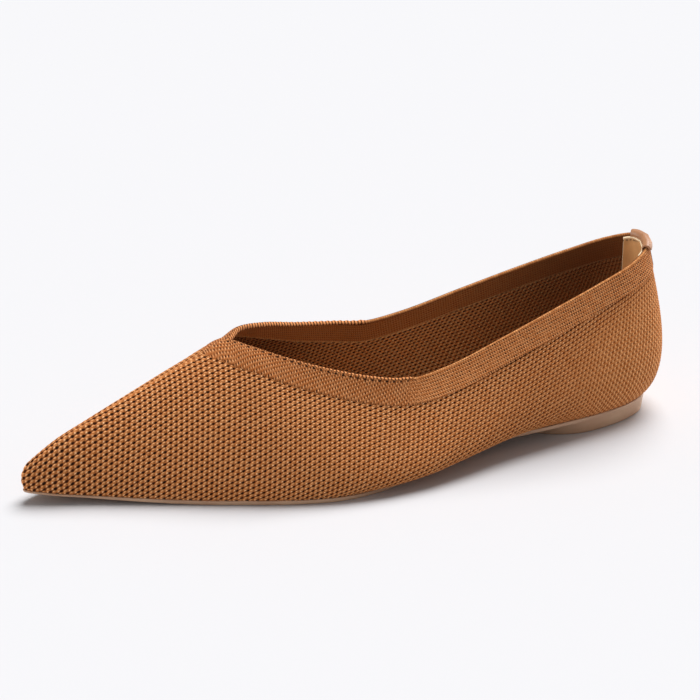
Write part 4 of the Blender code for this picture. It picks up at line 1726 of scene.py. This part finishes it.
@dataclass
class Footbed:
    """The insole inside the wall, on the sole."""

    last: Last
    workshop: Workshop
    thick: float = 2.0
    toe_row: float = 15.9
    corner: float = 0.35
    along_count: int = 260
    loop_count: int = 50

    def build(self) -> bpy.types.Object:
        """The insole: at each row a closed cross loop of two flat faces with rounded edges.

        Returns:
            The piece.
        """
        rows = self.last.even_places(self.along_count)
        rows = np.append(rows[rows < self.toe_row], self.toe_row)
        station = self.last.values(rows)["foot"]
        inset = np.full(len(rows), -(self.last.wall_thick + self.last.fit_gap))
        outer, inner = (self.last.outline(side.value * rows, inset)[:, None] for side in Side)
        across, through = rounded_loop(self.loop_count, self.corner)
        plan = blend(outer, inner, (0.5 - 0.5 * across)[:, None])
        level = 0.5 + 0.5 * through
        points = raised(plan, self.last.foot_height(station)[:, None] + self.thick * level)
        tip = np.broadcast_to(points[-1:].mean(axis=1, keepdims=True), points[-1:].shape)
        points = np.concatenate([points, tip])
        grid = Grid(points, closed_columns=True, turned=True, values={"edge": np.zeros_like(points)})
        return self.workshop.mesh("footbed", [grid], welded=True)

    def dress(self, finish: HideFinish) -> None:
        """Builds the insole and gives it its leather."""
        place_piece(self.build(), finish.material(), Slot.INSOLE, "insole")


@dataclass
class HeelLeather:
    """The leather at the heel: the grip patch inside and the tab folded over the collar's back."""

    last: Last
    workshop: Workshop
    band_step: float = 0.4
    row_length: float = 11.0
    grip_count: int = 120
    grip_levels: int = 80
    grip_corner: float = 0.22
    grip_thick: float = 0.8
    grip_gap: float = 0.1
    grip_rows: float = 1.38
    grip_bottom: float = 0.34
    grip_top_drop: float = 0.3
    stitch_pitch: float = 2.4
    stitch_half: float = 0.32
    stitch_inset: float = 1.2
    stitch_width: float = 0.3
    cut_depth: float = 0.35
    cut_side: Pair = (0.985, 0.012)
    tab_count: int = 72
    tab_corner: float = 0.25
    tab_thick: float = 0.6
    tab_proud: Pair = (0.25, 1.3)
    tab_rows: float = 1.0
    tab_taper: float = 0.6
    tab_ease: float = 2.5
    tab_outer_leg: float = 9.0
    tab_inner_leg: float = 0.4
    tab_under_height: float = 0.9
    tab_over_height: float = 1.8
    tab_steps: tuple[int, int, int] = (30, 26, 8)
    tab_cut: Pair = (0.97, 0.03)

    def grip(self) -> bpy.types.Object:
        """The grip patch: a plate along the wall's inside, its rim rounded, with a stitch row by its top.

        Returns:
            The piece.
        """
        across, through = rounded_loop(self.grip_count, self.grip_corner)
        where = (across * self.grip_rows)[:, None]
        _, length = self.last.rib_length(where[:, 0], np.ones_like(where))
        top = (1.0 - self.grip_top_drop / length)[:, None]
        levels = np.linspace(0.0, 1.0, self.grip_levels)
        share = blend(self.grip_bottom, top, np.pad(levels, 1, mode="edge"))
        thin = np.pad(np.ones(self.grip_levels), 1)
        middle = self.last.wall_thick + self.grip_gap + self.grip_thick / 2
        inward = middle - through[:, None] * self.grip_thick / 2 * thin
        points = self.last.off_wall(where, share, -inward)
        below_top = (top - share) * length[:, None]
        turns = where * self.row_length / self.stitch_pitch
        dash = np.abs(np.mod(turns, 1.0) - 0.5) < self.stitch_half
        stitch = np.exp(-(((below_top - self.stitch_inset) / self.stitch_width) ** 2)) * dash
        cut_start, cut_length = self.cut_side
        cut_side = smooth_step((np.abs(across) - cut_start) / cut_length)[:, None]
        cut = np.maximum(np.exp(-below_top / self.cut_depth), cut_side)
        edge = np.stack(np.broadcast_arrays(cut, stitch, 0.0), axis=-1)
        grid = Grid(points, closed_rows=True, values={"edge": edge})
        return self.workshop.mesh("heel_grip_leather", [grid], welded=True)

    def tab_face(self, across: Array, run: Array, outside: Array, inside: Array, height: Array) -> Array:
        """Points of the folded strip: up the outer leg, over the collar in half an oval, down the inside.

        Args:
            across: place across the strip, -1 to 1, a row for each point round its section.
            run: place along the strip, -1 at the outer end, 0 to 1 over the fold, 2 at the inner end.
            outside: distance of the outer leg from the wall.
            inside: distance of the inner leg from the wall.
            height: height of the fold over the collar's edge.

        Returns:
            The points.
        """
        outer_down = np.clip(-run, 0.0, 1.0)
        inner_down = np.clip(run - 1.0, 0.0, 1.0)
        turn = np.clip(run, 0.0, 1.0) * np.pi
        where = across * self.tab_rows * (1.0 - self.tab_taper * smooth_step(outer_down * self.tab_ease))
        _, length = self.last.rib_length(where.ravel(), np.ones((where.size, 1)))
        down = outer_down * self.tab_outer_leg + inner_down * self.tab_inner_leg
        share = 1.0 - down / length.reshape(where.shape)
        out = (outside - inside) / 2 + (outside + inside) / 2 * np.cos(turn)
        rise = height * np.sin(turn)
        return self.last.off_wall(where, share, out) + self.last.upward(where, share) * rise[..., None]

    def tab(self) -> bpy.types.Object:
        """The tab: a strip with a rounded section carried over the collar's edge.

        Returns:
            The piece.
        """
        across, through = rounded_loop(self.tab_count, self.tab_corner)
        # The outer leg, the fold and the inner leg, each from past the end of the one before.
        legs = [np.linspace(k - 1.0, float(k), count)[min(k, 1):] for k, count in enumerate(self.tab_steps)]
        run = np.pad(np.concatenate(legs), 1, mode="edge")
        thin = np.pad(np.ones(len(run) - 2), 1)
        across, run = np.broadcast_arrays(across[:, None], run)
        half = through[:, None] * thin / 2 + 0.5
        outside = self.band_step + half * blend(*self.tab_proud, smooth_step(1.0 + self.tab_ease * run))
        inside = self.last.wall_thick + half * self.tab_thick
        height = blend(self.tab_under_height, self.tab_over_height, half)
        points = self.tab_face(across, run, outside, inside, height)
        cut_start, cut_length = self.tab_cut
        cut = smooth_step((np.abs(across) - cut_start) / cut_length)
        edge = np.stack(np.broadcast_arrays(cut, 0.0, 0.0), axis=-1)
        grid = Grid(points, closed_rows=True, turned=True, values={"edge": edge})
        return self.workshop.mesh("heel_tab_leather", [grid], welded=True)

    def dress(self, lining: HideFinish, strap: HideFinish) -> None:
        """Builds the grip and the tab and gives them their leathers."""
        place_piece(self.grip(), lining.material(), Slot.GRIP, "heel_grip")
        place_piece(self.tab(), strap.material(), Slot.TAB, "heel_tab")


@dataclass(frozen=True)
class Lamp:
    """A far soft light: its strength, the width of its face and its direction, in degrees."""

    name: str
    strength: float
    spread: float
    azimuth: float
    elevation: float


@dataclass
class Studio:
    """The pale floor, soft light and the camera."""

    workshop: Workshop
    pieces: Sequence[bpy.types.Object]
    target: tuple[float, float, float] = (129.5, 0.0, 41.5)
    azimuth: float = 19.5
    elevation: float = 26.0
    distance: float = 800.0
    lens: float = 108.15
    sensor: float = 36.0
    floor_half: float = 3500.0
    floor_count: int = 9
    floor_colour: Colour = (0.782, 0.780, 0.800)
    floor_change: float = 0.997
    floor_noise: tuple[float, float, float] = (3.0, 2.0, 0.5)
    floor_roughness: float = 0.9
    floor_specular: float = 0.1
    clip: Pair = (0.01, 50.0)
    sky: float = 0.22
    key: Lamp = Lamp("key", 3.40, 40.0, 230.0, 66.0)
    fills: tuple[Lamp, Lamp] = (
        Lamp("toe_fill", 2.0, 60.0, 92.0, 18.0),
        Lamp("heel_fill", 2.5, 60.0, 263.0, 14.0),
    )

    def directions(self, azimuth: float, elevation: float) -> tuple[Array, Array, Array]:
        """Right, up and back of a view from an azimuth and an elevation, in degrees.

        Args:
            azimuth: degrees round from the outer side.
            elevation: degrees up.

        Returns:
            Three unit vectors.
        """
        turn, lift = np.radians(azimuth), np.radians(elevation)
        back = np.array([np.sin(turn) * np.cos(lift), np.cos(turn) * np.cos(lift), np.sin(lift)])
        right = np.array([-np.cos(turn), np.sin(turn), 0.0])
        return right, np.cross(back, right), back

    def aim(self, thing: bpy.types.Object, azimuth: float, elevation: float, distance: float) -> None:
        """Puts a camera or light at a distance from the target, looking at it.

        Args:
            thing: the camera or light.
            azimuth: degrees round from the outer side.
            elevation: degrees up.
            distance: millimetres from the target.
        """
        right, up, back = self.directions(azimuth, elevation)
        place = (np.array(self.target) + back * distance - self.workshop.shift) * METRES
        matrix = np.eye(4)
        matrix[:3, :3] = np.stack([right, up, back], axis=1)
        matrix[:3, 3] = place
        thing.matrix_world = Matrix(matrix.tolist())
        bpy.context.scene.collection.objects.link(thing)

    def camera(self) -> None:
        """The camera at the photo's angle."""
        data = bpy.data.cameras.new("camera")
        data.lens = self.lens
        data.sensor_width = self.sensor
        data.clip_start, data.clip_end = self.clip
        view = bpy.data.objects.new("camera", data)
        self.aim(view, self.azimuth, self.elevation, self.distance)
        bpy.context.scene.camera = view

    def light(self, lamp: Lamp) -> bpy.types.Object:
        """One far soft light.

        Args:
            lamp: its sizes and direction.

        Returns:
            The light's object.
        """
        data = bpy.data.lights.new(lamp.name, "SUN")
        data.energy = lamp.strength
        data.angle = float(np.radians(lamp.spread))
        source = bpy.data.objects.new(lamp.name, data)
        self.aim(source, lamp.azimuth, lamp.elevation, self.distance)
        return source

    def floor(self) -> None:
        """A plain pale floor: one flat grid."""
        reach = np.linspace(-self.floor_half, self.floor_half, self.floor_count)
        plan = np.stack(np.meshgrid(reach, reach, indexing="ij"), axis=-1)
        piece = self.workshop.mesh("floor", [Grid(raised(plan, 0.0))])
        constants = {"Roughness": self.floor_roughness, "Specular IOR Level": self.floor_specular}
        material, w, shader = new_material("pale_floor", constants)
        slight = tuple(part * self.floor_change for part in self.floor_colour)
        w.wire(shader, {"Base Color": w.mix(w.noise(*self.floor_noise), self.floor_colour, slight)})
        piece.data.materials.append(material)

    def build(self) -> None:
        """Floor, even sky, key light, a fill at each end that lights the shoe alone, and the camera."""
        self.floor()
        world = bpy.data.worlds.new("studio")
        world.use_nodes = True
        backdrop = world.node_tree.nodes["Background"]
        backdrop.inputs["Color"].default_value = (1.0, 1.0, 1.0, 1.0)
        backdrop.inputs["Strength"].default_value = self.sky
        bpy.context.scene.world = world
        self.light(self.key)
        shoe = bpy.data.collections.new("lit_by_fills")
        for piece in self.pieces:
            shoe.objects.link(piece)
        for lamp in self.fills:
            self.light(lamp).light_linking.receiver_collection = shoe
        self.camera()
        bpy.context.scene.view_settings.view_transform = "Standard"


# In each yarn the hole colour and the darker colour are painted shade, the paler colour is partly painted
# light and glint is a painted highlight.
OUTSIDE_YARN = YarnFinish(
    "caramel_knit", base=(0.52, 0.167, 0.040), pale=(0.94, 0.46, 0.19), dark_thread_and_shade=(0.13, 0.028, 0.006),
    hole=(0.022, 0.006, 0.0015),
)
BAND_YARN = YarnFinish(
    "caramel_rib", base=(0.57, 0.174, 0.041), pale=(1.0, 0.49, 0.21), dark_thread_and_shade=(0.045, 0.008, 0.002),
    front_shade=0.34, bump_depth=0.42,
)
EDGE_YARN = YarnFinish(
    "caramel_edge", base=(0.38, 0.13, 0.034), pale=(0.74, 0.35, 0.135), dark_thread_and_shade=(0.15, 0.04, 0.010),
    bump_depth=0.15,
)
# The inside yarn's last two shares paint shade under the throat and towards the heel.
INSIDE_YARN = YarnFinish(
    "caramel_inside", base=(0.84, 0.33, 0.096), pale=(1.0, 0.64, 0.30), dark_thread_and_shade=(0.11, 0.028, 0.007),
    hole=(0.02, 0.006, 0.002), glint=(1.0, 0.82, 0.52), pale_share=1.0, front_shade=0.66, heel_painted_shade=0.82,
)
LINING_HIDE = HideFinish(
    "tan_lining", base=(0.70, 0.36, 0.138), shade=(0.62, 0.31, 0.118), edge=(0.98, 0.76, 0.50), roughness=0.6,
)
FOOTBED_HIDE = HideFinish(
    "footbed_lining", base=(0.50, 0.26, 0.12), shade=(0.43, 0.22, 0.10), edge=(0.5, 0.3, 0.15),
    roughness=0.65,
)
TAB_HIDE = HideFinish(
    "caramel_leather", base=(0.40, 0.18, 0.08), shade=(0.34, 0.148, 0.064), edge=(0.31, 0.13, 0.055),
    roughness=0.42, coat=0.15,
)


def packed_shift() -> Array:
    """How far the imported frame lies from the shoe's own: the sole's foremost point is the toe's tip.

    Returns:
        The shift in millimetres, to be taken off points of the shoe's own frame.
    """
    tip_station = SECTIONS[-1][0] + MouldedSole.ledge
    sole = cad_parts["sole"].data
    points = np.empty(len(sole.vertices) * 3)
    sole.vertices.foreach_get("co", points)
    points = points.reshape(-1, 3) / METRES
    tip = points[np.argmax(points[:, 0])]
    return np.array([tip_station - tip[0], -tip[1], 0.0])


def main() -> None:
    """Builds the shoe's sub-assemblies in order, then the studio."""
    logging.basicConfig(level=logging.INFO, format="%(message)s")
    last = Last()
    workshop = Workshop(packed_shift())
    KnitUpper(last, Knit(), workshop).dress(OUTSIDE_YARN, BAND_YARN, EDGE_YARN, INSIDE_YARN)
    MouldedSole(last, workshop).dress(MouldedFinish())
    Footbed(last, workshop).dress(FOOTBED_HIDE)
    HeelLeather(last, workshop).dress(LINING_HIDE, TAB_HIDE)
    pieces = [thing for thing in bpy.context.scene.objects if thing.type == "MESH" and thing.visible_get()]
    Studio(workshop, pieces).build()


if __name__ == "__main__":
    main()
